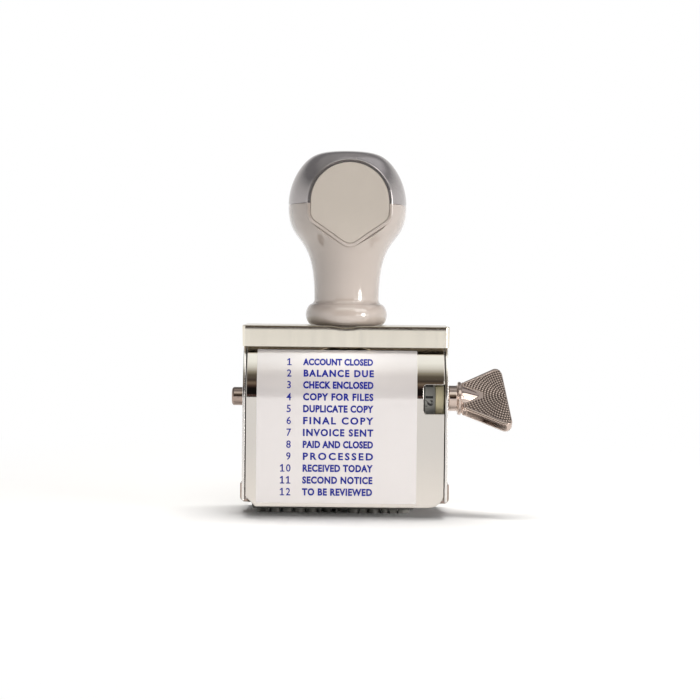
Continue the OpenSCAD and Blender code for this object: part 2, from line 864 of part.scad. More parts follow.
module platen() {
  outer = cheek_x + ear_gap + platen_t;
  color([0.7, 0.68, 0.66]) difference() {
    union() {
      along_x(-hood_x, hood_x) channel_section();
      along_y(-ear_w / 2, ear_w / 2) translate([0, platen_z + ear_h]) mirror([0, 1])
        bent_u(outer, ear_h, ear_bend_r, platen_t);
    }
    ear_rivets(seat_gap);
  }
}

module platen_rivets() {
  color("silver") ear_rivets(0);
}

handle_grip();
handle_cap();
front_plaque();
rear_plaque();
handle_insert();
handle_screw();
lock_washer();
lid();
frame();
hood();
label();
axle();
drum();
drum_pin();
retaining_clip();
number_dial();
index_wheel();
index_spring();
spring_rivet();
thrust_washer();
key();
key_pin();
type_band();
platen();
platen_rivets();
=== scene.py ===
# %% [markdown]
# # Rotary hand stamp
# A hand stamp of this kind carries a rubber band with twelve rows of type. A wing key turns the
# band until the wanted row lies on the print face, and a printed list on the front names the rows.
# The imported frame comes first, because it fixes the size and the place of every piece.

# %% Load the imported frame
import math

import bmesh
import bpy
from mathutils import Matrix, Vector


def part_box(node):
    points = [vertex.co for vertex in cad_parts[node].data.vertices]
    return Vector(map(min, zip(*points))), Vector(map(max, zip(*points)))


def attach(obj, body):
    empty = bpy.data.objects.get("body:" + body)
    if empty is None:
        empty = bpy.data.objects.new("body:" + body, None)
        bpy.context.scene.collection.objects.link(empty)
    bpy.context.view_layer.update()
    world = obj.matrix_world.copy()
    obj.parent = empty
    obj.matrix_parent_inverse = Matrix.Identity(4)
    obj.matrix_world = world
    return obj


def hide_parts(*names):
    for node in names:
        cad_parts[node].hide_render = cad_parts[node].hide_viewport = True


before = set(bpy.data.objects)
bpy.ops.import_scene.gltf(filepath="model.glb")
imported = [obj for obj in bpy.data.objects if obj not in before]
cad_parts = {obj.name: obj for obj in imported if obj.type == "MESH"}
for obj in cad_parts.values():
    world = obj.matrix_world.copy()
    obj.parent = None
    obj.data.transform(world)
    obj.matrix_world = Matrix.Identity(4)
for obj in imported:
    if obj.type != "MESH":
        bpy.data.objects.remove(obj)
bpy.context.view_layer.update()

MM = 0.001

# %% [markdown]
# ## Working as by hand
# Blender's operators act on whatever is selected, and loading the frame leaves its nodes selected.
# A few small helpers therefore clear the selection, pick one piece, and pick its faces or edges by
# their place. With them the steps below read like the steps of somebody at the screen.

# %% Helpers for selecting and modifying
def deselect():
    if bpy.context.object and bpy.context.object.mode != "OBJECT":
        bpy.ops.object.mode_set(mode="OBJECT")
    bpy.ops.object.select_all(action="DESELECT")


def take(piece):
    deselect()
    piece.select_set(True)
    bpy.context.view_layer.objects.active = piece
    return piece


def named(name):
    piece = bpy.context.object
    piece.name = name
    piece.data.name = name
    return piece


def edit(piece):
    take(piece)
    bpy.ops.object.mode_set(mode="EDIT")


def leave():
    bpy.ops.object.mode_set(mode="OBJECT")


def select_all():
    bpy.ops.mesh.select_all(action="SELECT")


def choose(piece, kind, test):
    bpy.ops.mesh.select_mode(type=kind)
    bpy.ops.mesh.select_all(action="DESELECT")
    mesh = bmesh.from_edit_mesh(piece.data)
    for item in {"VERT": mesh.verts, "EDGE": mesh.edges, "FACE": mesh.faces}[kind]:
        corners = [item] if kind == "VERT" else item.verts
        middle = sum((v.co for v in corners), Vector()) / len(corners)
        item.select_set(bool(test(middle, item)))
    mesh.select_flush_mode()
    bmesh.update_edit_mesh(piece.data)


def modify(piece, kind, **settings):
    take(piece)
    modifier = piece.modifiers.new(kind.lower(), kind)
    for key, value in settings.items():
        setattr(modifier, key, value)
    bpy.ops.object.modifier_apply(modifier=modifier.name)


def shade(piece, degrees=30):
    take(piece)
    bpy.ops.object.shade_smooth_by_angle(angle=math.radians(degrees))


def round_edges(piece, width, segments, angle=60, **settings):
    modify(piece, "BEVEL", width=width, segments=segments, limit_method="ANGLE",
           angle_limit=math.radians(angle), **settings)


def soften(piece, width, segments=2):
    round_edges(piece, width, segments, angle=40, use_clamp_overlap=False)
    shade(piece)
    modify(piece, "WEIGHTED_NORMAL", keep_sharp=True)


def cut(piece, cutter):
    modify(piece, "BOOLEAN", operation="DIFFERENCE", object=cutter, solver="EXACT")
    bpy.data.objects.remove(cutter)


def move_points(piece, place):
    for point in piece.data.vertices:
        point.co = place(point.co)
    piece.data.update()


def join(pieces, name):
    take(pieces[0])
    for piece in pieces:
        piece.select_set(True)
    bpy.ops.object.join()
    return named(name)


def low_corner(piece):
    return Vector([min(v.co[way] for v in piece.data.vertices) for way in range(3)])


def extent(piece, way):
    places = [v.co[way] for v in piece.data.vertices]
    return max(places) - min(places)


def faces_of(piece):
    return f"{piece.name}: {len(piece.data.polygons)} faces"


# %% [markdown]
# ## Drawing a profile
# Most of this stamp is either turned or folded from sheet, so nearly every piece starts as a
# profile. One vertex is extruded from point to point, as when tracing a drawing. The chain of edges
# is then spun round an axis, or pulled along the axle.

# %% Helpers for profiles
SAME_POINT = 0.001 * MM


def draw(name, points, closed=False):
    deselect()
    bpy.ops.mesh.primitive_plane_add(size=MM)
    piece = named(name)
    bpy.ops.object.mode_set(mode="EDIT")
    bpy.ops.mesh.select_mode(type="VERT")
    select_all()
    bpy.ops.mesh.merge(type="CENTER")
    bpy.ops.transform.translate(value=points[0])
    for here, there in zip(points, points[1:]):
        step = Vector(there) - Vector(here)
        bpy.ops.mesh.extrude_vertices_move(TRANSFORM_OT_translate={"value": step})
    select_all()
    if closed:
        bpy.ops.mesh.edge_face_add()
    return piece


def tidy_normals():
    select_all()
    bpy.ops.mesh.remove_doubles(threshold=SAME_POINT)
    bpy.ops.mesh.normals_make_consistent(inside=False)
    leave()


def turn(name, profile, axis, center=(0, 0, 0), steps=144):
    piece = draw(name, profile)
    bpy.ops.mesh.spin(steps=steps, angle=math.tau, center=center, axis=axis)
    tidy_normals()
    return piece


def extrude(vector):
    bpy.ops.mesh.extrude_region_move(TRANSFORM_OT_translate={"value": vector})


def arc(center, radius, first, last, steps):
    angles = [math.radians(first + (last - first) * i / steps) for i in range(steps + 1)]
    return [(center[0] + radius * math.cos(a), center[1] + radius * math.sin(a)) for a in angles]


# %% [markdown]
# ## Effects that the finishes share
# Plastic, plated sheet, rubber and card all vary a little in tone, in gloss and in grain. Each of
# these three effects is one node group. Every finish places them with its own sizes, which are in
# millimetres, so a grain keeps its true scale on a large piece and on a small one. A node is added
# together with what feeds it, either a plain value or the output of an earlier node.

# %% Helpers for nodes
def feed(tree, node, feeds):
    for key, value in feeds.items():
        if isinstance(value, bpy.types.NodeSocket):
            tree.links.new(value, node.inputs[key])
        else:
            node.inputs[key].default_value = value


def add(tree, kind, feeds={}, **settings):
    node = tree.nodes.new("ShaderNode" + kind)
    for key, value in settings.items():
        setattr(node, key, value)
    feed(tree, node, feeds)
    return node.outputs


def mixed(tree, share, first, second):
    feeds = {"Factor": share, "A": first, "B": second}
    return add(tree, "Mix", feeds, data_type="RGBA")["Result"]


def new_group(name, inputs, output):
    group = bpy.data.node_groups.new(name, "ShaderNodeTree")
    for label, kind, value in inputs:
        group.interface.new_socket(label, in_out="INPUT", socket_type=kind).default_value = value
    group.interface.new_socket(output[0], in_out="OUTPUT", socket_type=output[1])
    return group, group.nodes.new("NodeGroupInput").outputs, group.nodes.new("NodeGroupOutput")


# %% Node groups for tone, gloss and grain
def noise_of_size(group, start, detail):
    place = add(group, "TexCoord")["Object"]
    scale = add(group, "Math", {0: 1 / MM, 1: start["Size"]}, operation="DIVIDE")[0]
    stretched = add(group, "VectorMath", {0: place, 1: start["Stretch"]}, operation="MULTIPLY")[0]
    return add(group, "TexNoise", {"Detail": detail, "Scale": scale, "Vector": stretched})["Fac"]


def swing(group, source, spread, base, **settings):
    centred = add(group, "Math", {0: source, 1: 0.5}, operation="SUBTRACT")[0]
    feeds = {0: centred, 1: spread, 2: base}
    return add(group, "Math", feeds, operation="MULTIPLY_ADD", **settings)[0]


SIZES = [("Size", "NodeSocketFloat", 4.0), ("Stretch", "NodeSocketVector", (1, 1, 1))]

tone_group, start, end = new_group(
    "tone_variation",
    [("Colour", "NodeSocketColor", (0.5, 0.5, 0.5, 1)), ("Spread", "NodeSocketFloat", 0.1)] + SIZES,
    ("Colour", "NodeSocketColor"))
value = swing(tone_group, noise_of_size(tone_group, start, 4), start["Spread"], 1)
shifted = add(tone_group, "HueSaturation", {"Value": value, "Color": start["Colour"]})["Color"]
feed(tone_group, end, {"Colour": shifted})

gloss_group, start, end = new_group(
    "gloss_variation",
    [("Roughness", "NodeSocketFloat", 0.3), ("Smudge", "NodeSocketFloat", 0.1)] + SIZES,
    ("Roughness", "NodeSocketFloat"))
value = swing(gloss_group, noise_of_size(gloss_group, start, 3), start["Smudge"],
              start["Roughness"], use_clamp=True)
feed(gloss_group, end, {"Roughness": value})

grain_group, start, end = new_group("surface_grain", SIZES, ("Height", "NodeSocketFloat"))
feed(grain_group, end, {"Height": noise_of_size(grain_group, start, 2)})
print("Node groups:", [g.name for g in bpy.data.node_groups])

# %% [markdown]
# ## One recipe for a finish
# A finish is a Principled shader whose colour, roughness and normal come from the three groups.
# Numbers that stay the same all over a surface, such as the metal share or the index of
# refraction, sit on the shader itself. That keeps every finish short and easy to compare. A finish
# can also carry painted shade, which it reads from an attribute of the mesh.

# %% The recipe
COAT_ROUGHNESS = 0.06


def finish(name, colour, roughness, metallic=0.0, ior=1.5, tone=(0.06, 5.0), smudge=(0.1, 7.0),
           grain=(0.3, 0.002), stretch=(1, 1, 1), coat=0.0, painted_shade=None):
    material = bpy.data.materials.new(name)
    material.use_nodes = True
    tree = material.node_tree

    def placed(group, **values):
        return add(tree, "Group", {**values, "Stretch": stretch}, node_tree=group)[0]

    base = placed(tone_group, Colour=(*colour, 1), Spread=tone[0], Size=tone[1])
    gloss = placed(gloss_group, Roughness=roughness, Smudge=smudge[0], Size=smudge[1])
    height = placed(grain_group, Size=grain[0])
    bump = add(tree, "Bump", {"Strength": 1, "Distance": grain[1] * MM, "Height": height})
    # Painted shade: the colour turns darker where the mesh's attribute says so.
    if painted_shade:
        depth = add(tree, "Attribute", attribute_name="painted_shade")["Fac"]
        base = mixed(tree, depth, base, (*painted_shade, 1))
    feed(tree, tree.nodes["Principled BSDF"], {
        "Base Color": base, "Metallic": metallic, "Roughness": gloss, "IOR": ior,
        "Normal": bump["Normal"], "Coat Weight": coat, "Coat Roughness": COAT_ROUGHNESS})
    return material


# %% The finishes of this stamp
UPRIGHT = (1, 1, 0.04)
grip_plastic = finish("grip_plastic", (0.42, 0.362, 0.323), 0.08, ior=1.7, tone=(0.04, 9),
                      smudge=(0.05, 6), grain=(0.6, 0.0006), coat=0.8)
cap_plastic = finish("cap_plastic", (0.40, 0.375, 0.375), 0.12, metallic=0.75, tone=(0.1, 0.25),
                     smudge=(0.06, 6), grain=(0.4, 0.0006), coat=0.2)
plaque_plastic = finish("plaque_plastic", (0.49, 0.442, 0.39), 0.3, tone=(0.04, 6),
                        grain=(0.2, 0.002))
nickel_sheet = finish("nickel_sheet", (0.66, 0.62, 0.575), 0.05, metallic=1, tone=(0.05, 12),
                      smudge=(0.05, 9), grain=(1.5, 0.0004))
satin_lid = finish("satin_lid", (0.87, 0.815, 0.71), 0.2, metallic=1, tone=(0.08, 1.2),
                   smudge=(0.1, 1.5), grain=(0.25, 0.001), stretch=UPRIGHT)
plated_steel = finish("plated_steel", (0.58, 0.52, 0.47), 0.1, metallic=1, grain=(0.3, 0.001))
# The key's finish carries a dark colour for painted shade in the pits and on the wing's edges.
copper_nickel = finish("copper_nickel", (0.57, 0.465, 0.41), 0.1, metallic=1, tone=(0.15, 1.5),
                       smudge=(0.12, 2), grain=(0.25, 0.002), painted_shade=(0.085, 0.064, 0.052))
# Dark steel for the axle. On the platen the same finish is painted shade, darker than its plated
# sheet.
axle_steel_and_platen_shade = finish("axle_steel_and_platen_shade", (0.37, 0.29, 0.25), 0.18, metallic=1, tone=(0.15, 1.5),
                    smudge=(0.12, 2), grain=(0.25, 0.002))
sheet_edge = finish("sheet_edge", (0.80, 0.77, 0.74), 0.2, metallic=1, tone=(0.08, 0.8),
                    smudge=(0.2, 1.5), grain=(0.3, 0.002))
label_card = finish("label_card", (0.79, 0.75, 0.74), 0.17, metallic=0.2, ior=1.9, tone=(0.02, 8),
                    smudge=(0.04, 5), grain=(0.4, 0.0004))
label_ink = finish("label_ink", (0.002, 0.012, 0.27), 0.35, tone=(0.2, 0.3), grain=(0.1, 0.001))
brass = finish("brass", (0.60, 0.42, 0.15), 0.3, metallic=1)
drum_plastic = finish("drum_plastic", (0.05, 0.05, 0.055), 0.45, grain=(0.2, 0.004))
dial_plastic = finish("dial_plastic", (0.34, 0.34, 0.32), 0.4, tone=(0.15, 0.8),
                      grain=(0.2, 0.004))
dial_ink = finish("dial_ink", (0.012, 0.012, 0.012), 0.4)
wheel_plastic = finish("wheel_plastic", (0.86, 0.77, 0.50), 0.35, tone=(0.12, 1.5),
                       grain=(0.25, 0.003))
type_rubber = finish("type_rubber", (0.22, 0.215, 0.195), 0.45, tone=(0.4, 1.2),
                     smudge=(0.3, 1.5), grain=(0.15, 0.01))
print("Finishes:", len(bpy.data.materials))


# %% Handing a piece over to the frame
def done(piece, material, body, slot, *nodes):
    piece.data.materials.clear()
    piece.data.materials.append(material)
    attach(piece, body)
    if nodes:
        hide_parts(*nodes)
    print(faces_of(piece))


# %% [markdown]
# ## The handle
# The grip and its cap are one turned shape, split at a fine joint above the ball's widest place.
# It could be carved from a sphere, but a profile that is spun gives the bead, the slim neck and the
# flare exactly. The frame gives the heights of the foot, the joint and the top.

# %% Profile of the handle
dish_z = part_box("handle_grip")[0].z
joint_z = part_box("handle_cap")[0].z
knob_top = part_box("handle_cap")[1].z
BALL_R = 16.05 * MM
NECK_R = 8.8 * MM
FOOT_R = 7.0 * MM
FOOT_H = 1.3 * MM
BEAD_R = 11.1 * MM
BEAD_Z = dish_z + 4.15 * MM
BEAD_LOW = 2.85 * MM
BEAD_HIGH = 3.3 * MM
BEAD_FILLET = 1.1 * MM
BEAD_TURN = 1.1
NECK_TOP = dish_z + 8.2 * MM
EQUATOR = dish_z + 33.9 * MM
CROWN_CUT = 2.2 * MM
CROWN_POWER = 15
LOW_PULL = 0.765
HIGH_PULL = 0.465
HANDLE_TURN = math.radians(3.5)
JOINT_ROUND = 0.2 * MM
TINY = 1e-6


def bead(a):
    height = BEAD_HIGH if a > 0 else BEAD_LOW
    return NECK_R + (BEAD_R - NECK_R) * math.cos(a), BEAD_Z + height * math.sin(a)


def bead_fillet(t):
    u = 1 - t
    first = bead(BEAD_TURN)
    top = BEAD_Z + BEAD_HIGH
    radius = first[0] * u * u + NECK_R * (1 - u * u)
    return radius, first[1] * u * u + top * 2 * u * t + (top + BEAD_FILLET) * t * t


def flare(t):
    u = 1 - t
    rise = EQUATOR - NECK_TOP
    low = NECK_TOP + rise * LOW_PULL
    high = EQUATOR - rise * HIGH_PULL
    radius = NECK_R * (u ** 3 + 3 * u * u * t) + BALL_R * (3 * u * t * t + t ** 3)
    return radius, NECK_TOP * u ** 3 + 3 * low * u * u * t + 3 * high * u * t * t + EQUATOR * t ** 3


def soft_least(first, second):
    return first / (1 + (first / second) ** CROWN_POWER) ** (1 / CROWN_POWER)


def dome(a):
    rise = knob_top - EQUATOR
    full = rise + CROWN_CUT
    flat = rise / (1 - (rise / full) ** CROWN_POWER) ** (1 / CROWN_POWER)
    round_reach = 1 / math.hypot(math.cos(a) / BALL_R, math.sin(a) / full)
    reach = soft_least(round_reach, flat / max(math.sin(a), TINY))
    return reach * math.cos(a), EQUATOR + reach * math.sin(a)


def steps(count, first=0.0, last=1.0):
    return [first + (last - first) * i / count for i in range(count + 1)]


print("Foot, joint and top, mm:", [round(z / MM, 2) for z in (dish_z, joint_z, knob_top)])

# %% Grip and cap
QUARTER = math.pi / 2
UP = (0, 0, 1)
HANDLE_STEPS = 192
joint_r = BALL_R
joint_low = joint_z - 2 * JOINT_ROUND
joint_high = joint_z + 2 * JOINT_ROUND
grip_line = [(0, dish_z), (FOOT_R, dish_z), (FOOT_R, dish_z + FOOT_H)]
grip_line += [bead(a) for a in steps(64, -QUARTER, BEAD_TURN)]
grip_line += [bead_fillet(t) for t in steps(24)[1:]]
grip_line += [p for p in map(flare, steps(96)) if grip_line[-1][1] < p[1] < joint_low]
grip_line += [(joint_r, joint_z - JOINT_ROUND), (joint_r - JOINT_ROUND, joint_z), (0, joint_z)]
cap_line = [(0, joint_z), (joint_r - JOINT_ROUND, joint_z), (joint_r, joint_z + JOINT_ROUND)]
cap_line += [p for p in map(dome, steps(160, 0, QUARTER - TINY)) if p[1] > joint_high]
cap_line[-1] = (0, knob_top)
grip = turn("grip_turned", [(r, 0, z) for r, z in grip_line], UP, steps=HANDLE_STEPS)
cap = turn("cap_turned", [(r, 0, z) for r, z in cap_line], UP, steps=HANDLE_STEPS)
print(faces_of(grip), faces_of(cap))

# %% [markdown]
# ## The shield plaques
# A flat shield is let into the front and the back of the ball, inside a narrow round-edged frame
# that catches the light all round. One shield outline serves three times: as the plaque, as the
# frame, and widened towards the outside as the flat that is cut from the ball to seat them. The
# seat's edges stay sharp when the ball is shaded, or they would smear over its smooth skin.

# %% Outline of the shield
PLAQUE_Y = 11.75 * MM
PLAQUE_T = 0.8 * MM
PLAQUE_Z = dish_z + 34.5 * MM
PLAQUE_R = 10.5 * MM
SHOULDER_R = 3.0 * MM
SHOULDER_DROP = 2.8 * MM
POINT_DROP = 11.0 * MM
BORDER_W = 1.2 * MM
BORDER_DEEP = 1.2 * MM
FRAME_W = 1.1 * MM
FRAME_PROUD = 0.1 * MM
FRAME_ROUND = 0.55 * MM
FRAME_DEEP = 3.0 * MM
SEAT_GAP = 0.05 * MM


def shield(margin):
    round_r = PLAQUE_R + margin
    small_r = SHOULDER_R + margin
    shoulder = (PLAQUE_R - SHOULDER_R, -SHOULDER_DROP)
    point = (0, SHOULDER_R - POINT_DROP)
    lean = math.degrees(math.atan2(shoulder[1] - point[1], shoulder[0] - point[0])) - 90
    right = arc((0, 0), round_r, 90, 0, 24)
    right += arc(shoulder, small_r, 0, lean, 8)
    right += arc(point, small_r, lean, -90, 8)
    left = [(-x, y) for x, y in reversed(right[1:-1])]
    return [(x, -PLAQUE_Y, PLAQUE_Z + y) for x, y in right + left]


def to_place(piece, angle):
    piece.data.transform(Matrix.Rotation(HANDLE_TURN + angle, 4, "Z"))
    piece.data.update()


print("Points in the outline:", len(shield(0)))

# %% Cutter of the seat, and the frame
SEAT_REACH = 5
NEAR = 0.01 * MM
FACING = 0.9


def seat_cutter(angle):
    cutter = draw("seat_cutter", shield(FRAME_W), closed=True)
    extrude((0, PLAQUE_T, 0))
    front = -PLAQUE_Y + NEAR
    choose(cutter, "FACE", lambda middle, face: middle.y < front and abs(face.normal.y) > FACING)
    grow = 1 + SEAT_REACH * BORDER_W / PLAQUE_R
    extrude((0, -SEAT_REACH * BORDER_DEEP, 0))
    bpy.ops.transform.resize(value=(grow, 1, grow), center_override=(0, -PLAQUE_Y, PLAQUE_Z))
    tidy_normals()
    to_place(cutter, angle)
    return cutter


def plaque_frame(angle, upper):
    ring = draw("plaque_frame", shield(FRAME_W), closed=True)
    bpy.ops.transform.translate(value=(0, -FRAME_PROUD, 0))
    extrude((0, FRAME_DEEP, 0))
    tidy_normals()
    round_edges(ring, FRAME_ROUND, segments=5)
    hole = draw("plaque_hole", shield(SEAT_GAP), closed=True)
    bpy.ops.transform.translate(value=(0, -MM, 0))
    extrude((0, MM + PLAQUE_T, 0))
    tidy_normals()
    cut(ring, hole)
    edit(ring)
    select_all()
    away = (0, 0, -1 if upper else 1)
    bpy.ops.mesh.bisect(plane_co=(0, 0, joint_z), plane_no=away, clear_outer=True, use_fill=True)
    tidy_normals()
    to_place(ring, angle)
    return ring


# %% Seats, frames and plaques
SEAT_CREASE = 5
FRAME_CREASE = 28
PLAQUE_SOFT = 0.18 * MM
FRONT_AND_REAR = (0, math.pi)
for angle in FRONT_AND_REAR:
    cut(grip, seat_cutter(angle))
    cut(cap, seat_cutter(angle))
for piece in (grip, cap):
    shade(piece, SEAT_CREASE)
grip = join([grip] + [plaque_frame(angle, False) for angle in FRONT_AND_REAR], "grip_turned")
cap = join([cap] + [plaque_frame(angle, True) for angle in FRONT_AND_REAR], "cap_turned")
for piece in (grip, cap):
    shade(piece, FRAME_CREASE)
done(grip, grip_plastic, "body", "grip_plastic", "handle_grip")
done(cap, cap_plastic, "body", "cap_plastic", "handle_cap")

for name, angle in zip(("front_plaque", "rear_plaque"), FRONT_AND_REAR):
    plaque = draw(name + "_face", shield(0), closed=True)
    extrude((0, PLAQUE_T, 0))
    tidy_normals()
    to_place(plaque, angle)
    soften(plaque, PLAQUE_SOFT, segments=3)
    done(plaque, plaque_plastic, "body", "plaque_plastic", name)

# %% [markdown]
# ## The pressed lid
# The lid is a shallow tray of thin sheet, pressed into a dish where the handle stands. The dish is
# wider than the lid is deep, so it also pulls the front and back edges down a little. A fine grid
# can follow that: its corners are rounded, its middle is pushed down, and its rim is then folded.

# %% Grid of the lid with round corners and a dish
lid_low, lid_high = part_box("lid")
LID_LEAN = 0.15 * MM
LID_CORNER = 1.2 * MM
LID_BEND = 0.1 * MM
LID_FACET = 0.24 * MM
LID_FACET_BACK = 0.05 * MM
LID_SHEET = 0.3 * MM
LID_SNUG = 0.25 * MM
DISH_DEPTH = lid_high.z - dish_z
DISH_FLOOR = 9.5 * MM
DISH_RIM = 11.9 * MM
lid_x = lid_high.x - LID_SNUG
lid_y = lid_high.y


def dish(x, y):
    share = (math.hypot(x, y) - DISH_FLOOR) / (DISH_RIM - DISH_FLOOR)
    share = min(1.0, max(0.0, share))
    return DISH_DEPTH * (1 - share * share * (3 - 2 * share))


def core(point):
    wide = lid_x - LID_CORNER
    deep = lid_y - LID_CORNER
    return Vector((max(-wide, min(wide, point.x)), max(-deep, min(deep, point.y)), point.z))


def rounded(point):
    base = core(point)
    u = (point.x - base.x) / LID_CORNER
    v = (point.y - base.y) / LID_CORNER
    x = base.x + LID_CORNER * u * math.sqrt(1 - v * v / 2)
    y = base.y + LID_CORNER * v * math.sqrt(1 - u * u / 2)
    return Vector((x, y, point.z))


deselect()
bpy.ops.mesh.primitive_grid_add(x_subdivisions=184, y_subdivisions=74, size=2)
lid = named("lid_pressing")
move_points(lid, lambda p: rounded(Vector((p.x * lid_x, p.y * lid_y, lid_high.z))))
print(faces_of(lid))

# %% Fold the lid's rim down
edit(lid)
bpy.ops.mesh.select_mode(type="EDGE")
select_all()
bpy.ops.mesh.region_to_loop()
lid_height = lid_high.z - lid_low.z
inset = LID_BEND + LID_FACET_BACK
rim_rings = [(LID_BEND * math.sin(a) - inset, LID_BEND * (1 - math.cos(a)))
             for a in steps(4, 0, QUARTER)]
facet_low = LID_BEND + LID_FACET
rim_rings += [(-LID_FACET_BACK * (1 - t), LID_BEND + LID_FACET * t) for t in steps(4)[1:]]
rim_rings += [(-LID_LEAN * t, facet_low + (lid_height - facet_low) * t) for t in steps(6)[1:]]
sheet = bmesh.from_edit_mesh(lid.data)
for vertex in sheet.verts:
    inward = core(vertex.co) - vertex.co
    vertex.co += inward.normalized() * min(inset, inward.length) if inward.length > 0 else Vector()
for number, (outward, drop) in enumerate(rim_rings[1:]):
    bpy.ops.mesh.extrude_edges_move()
    sheet = bmesh.from_edit_mesh(lid.data)
    before = rim_rings[number]
    for vertex in sheet.verts:
        if vertex.select:
            away = (vertex.co - core(vertex.co)).normalized()
            vertex.co += away * (outward - before[0])
            vertex.co.z -= drop - before[1]
    bmesh.update_edit_mesh(lid.data)
leave()
print(faces_of(lid))

# %% Press the dish and give the sheet its thickness
LID_CREASE = 35


def press(point):
    fade = max(0.0, (point.z - lid_low.z) / lid_height)
    return Vector((point.x, point.y, point.z - dish(point.x, point.y) * fade))


move_points(lid, press)
modify(lid, "SOLIDIFY", thickness=LID_SHEET, offset=-1, use_even_offset=True)
shade(lid, LID_CREASE)
done(lid, satin_lid, "body", "nickel_sheet", "lid")

# %% [markdown]
# ## The hood
# The hood is one bright plated sheet that wraps over the body, flat at the front and back and round
# at the shoulders. Its section is drawn once and pulled along the axle. Corners are sliced off with
# planes, thickness comes from Solidify, and the window is the only cut that needs a boolean.

# %% Section of the body
hood_low, hood_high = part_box("hood")
HALF_D = 13.0 * MM
SHOULDER_ROUND = 24.0 * MM
ROOF_HALF = 5.79 * MM
HOOD_SHEET = 0.75 * MM
shoulder_in = SHOULDER_ROUND - HALF_D + ROOF_HALF
shoulder_z = hood_high.z - math.sqrt(SHOULDER_ROUND ** 2 - shoulder_in ** 2)
shoulder_y = SHOULDER_ROUND - HALF_D
shoulder_turn = math.degrees(math.acos(shoulder_in / SHOULDER_ROUND))


def body_line(low, count):
    front = [(-HALF_D, low)]
    front += arc((shoulder_y, shoulder_z), SHOULDER_ROUND, 180, 180 - shoulder_turn, count)
    return front + [(-y, z) for y, z in reversed(front)]


def slice_off(where, outward):
    select_all()
    bpy.ops.mesh.bisect(plane_co=where, plane_no=outward, clear_outer=True)


print("Turn of a shoulder, degrees:", round(shoulder_turn, 1))

# %% Hood sheet with its corners
CORNER_CUT = 2.7 * MM
CORNER_R = 3.9 * MM
CORNER_STEP = 5
hood = draw("hood_sheet", [(hood_low.x, y, z) for y, z in body_line(hood_low.z, count=72)])
extrude((hood_high.x - hood_low.x, 0, 0))
slice_off((hood_low.x + CORNER_CUT, 0, hood_low.z), (-1, 0, -1))
for degrees in range(CORNER_STEP, 90, CORNER_STEP):
    outward = Vector((math.sin(math.radians(degrees)), 0, -math.cos(math.radians(degrees))))
    middle = Vector((hood_high.x - CORNER_R, 0, hood_low.z + CORNER_R))
    slice_off(middle + outward * CORNER_R, outward)
tidy_normals()
modify(hood, "SOLIDIFY", thickness=HOOD_SHEET, offset=-1, use_even_offset=True)
print(faces_of(hood))

# %% Window of the hood
WINDOW_X = 20.85 * MM
WINDOW_LOW = 28.1 * MM
WINDOW_HIGH = 35.8 * MM
WINDOW_R = 0.8 * MM
HOOD_SOFT = 0.2 * MM
window_line = [(hood_high.x + MM, WINDOW_LOW)]
window_line += arc((WINDOW_X + WINDOW_R, WINDOW_LOW + WINDOW_R), WINDOW_R, -90, -180, 8)
window_line += arc((WINDOW_X + WINDOW_R, WINDOW_HIGH - WINDOW_R), WINDOW_R, 180, 90, 8)
window_line += [(hood_high.x + MM, WINDOW_HIGH)]
cutter = draw("window_cutter", [(x, -HALF_D - MM, z) for x, z in window_line], closed=True)
extrude((0, HALF_D / 2, 0))
tidy_normals()
cut(hood, cutter)
soften(hood, HOOD_SOFT, segments=3)
done(hood, nickel_sheet, "body", "nickel_sheet", "hood")

# %% [markdown]
# ## Frame, platen and index wheel
# Frame and platen are plain bent sheet, the wheel is a small moulding, and their solids already
# have the right shape. Real edges are soft and catch a line of light, so each solid is copied, its
# triangles are merged into flat faces, and a narrow bevel is put on every fold and edge.

# %% Softened copies
FLAT = math.radians(0.5)
FRAME_SOFT = 0.2 * MM
PLATEN_SOFT = 0.1 * MM
WHEEL_SOFT = 0.12 * MM


def softened(node, name, width, material, body, slot):
    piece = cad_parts[node].copy()
    piece.data = piece.data.copy()
    piece.parent = None
    piece.name = name
    piece.data.name = name
    for key in list(piece.keys()):
        if key.startswith("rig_"):
            del piece[key]
    bpy.context.scene.collection.objects.link(piece)
    edit(piece)
    select_all()
    bpy.ops.mesh.remove_doubles(threshold=SAME_POINT)
    bpy.ops.mesh.dissolve_limited(angle_limit=FLAT)
    leave()
    soften(piece, width)
    done(piece, material, body, slot, node)
    return piece


softened("frame", "frame_sheet", FRAME_SOFT, sheet_edge, "body", "nickel_sheet")
# The platen takes the dark axle finish, as painted shade on its ears.
softened("platen", "platen_sheet", PLATEN_SOFT, axle_steel_and_platen_shade, "body", "plated_steel")
softened("index_wheel", "index_wheel_moulding", WHEEL_SOFT, wheel_plastic, "drive", "wheel_plastic")

# %% [markdown]
# ## The index spring
# The spring's nose drops into a notch of the index wheel at each station, and the wheel lifts it in
# between. It is shown lifted, so that it clears the wheel at every turn of the key. The leaf is the
# solid's copy, pressed together towards the roof that it hangs from.

# %% Spring lifted by the wheel
SPRING_CLEAR = 0.06 * MM
SPRING_SOFT = 0.05 * MM
axle_z = (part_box("axle")[0].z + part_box("axle")[1].z) / 2
spring_low, spring_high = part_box("index_spring")
wheel_top = axle_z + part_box("index_wheel")[1].y
spring = softened("index_spring", "index_spring_leaf", SPRING_SOFT, plated_steel, "body",
                  "plated_steel")
press_share = (spring_high.z - wheel_top - SPRING_CLEAR) / (spring_high.z - spring_low.z)


def lifted(point):
    return Vector((point.x, point.y, spring_high.z - (spring_high.z - point.z) * press_share))


move_points(spring, lifted)
print("Spring pressed to", round(press_share, 2), "of its height")

# %% [markdown]
# ## The list of rows
# A glossy white card follows the front from the lower edge up over the shoulder. It lists twelve
# plain numbers with ordinary office words. The card is the same section as the hood, a little
# further out, and the print is real lettering that is laid over the card's curve. All rows are
# equally long, as on a typed list: long ones get narrower letters, short ones wider gaps.

# %% The card
card_low, card_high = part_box("label")
CARD_T = 0.15 * MM
CARD_SOFT = 0.04 * MM


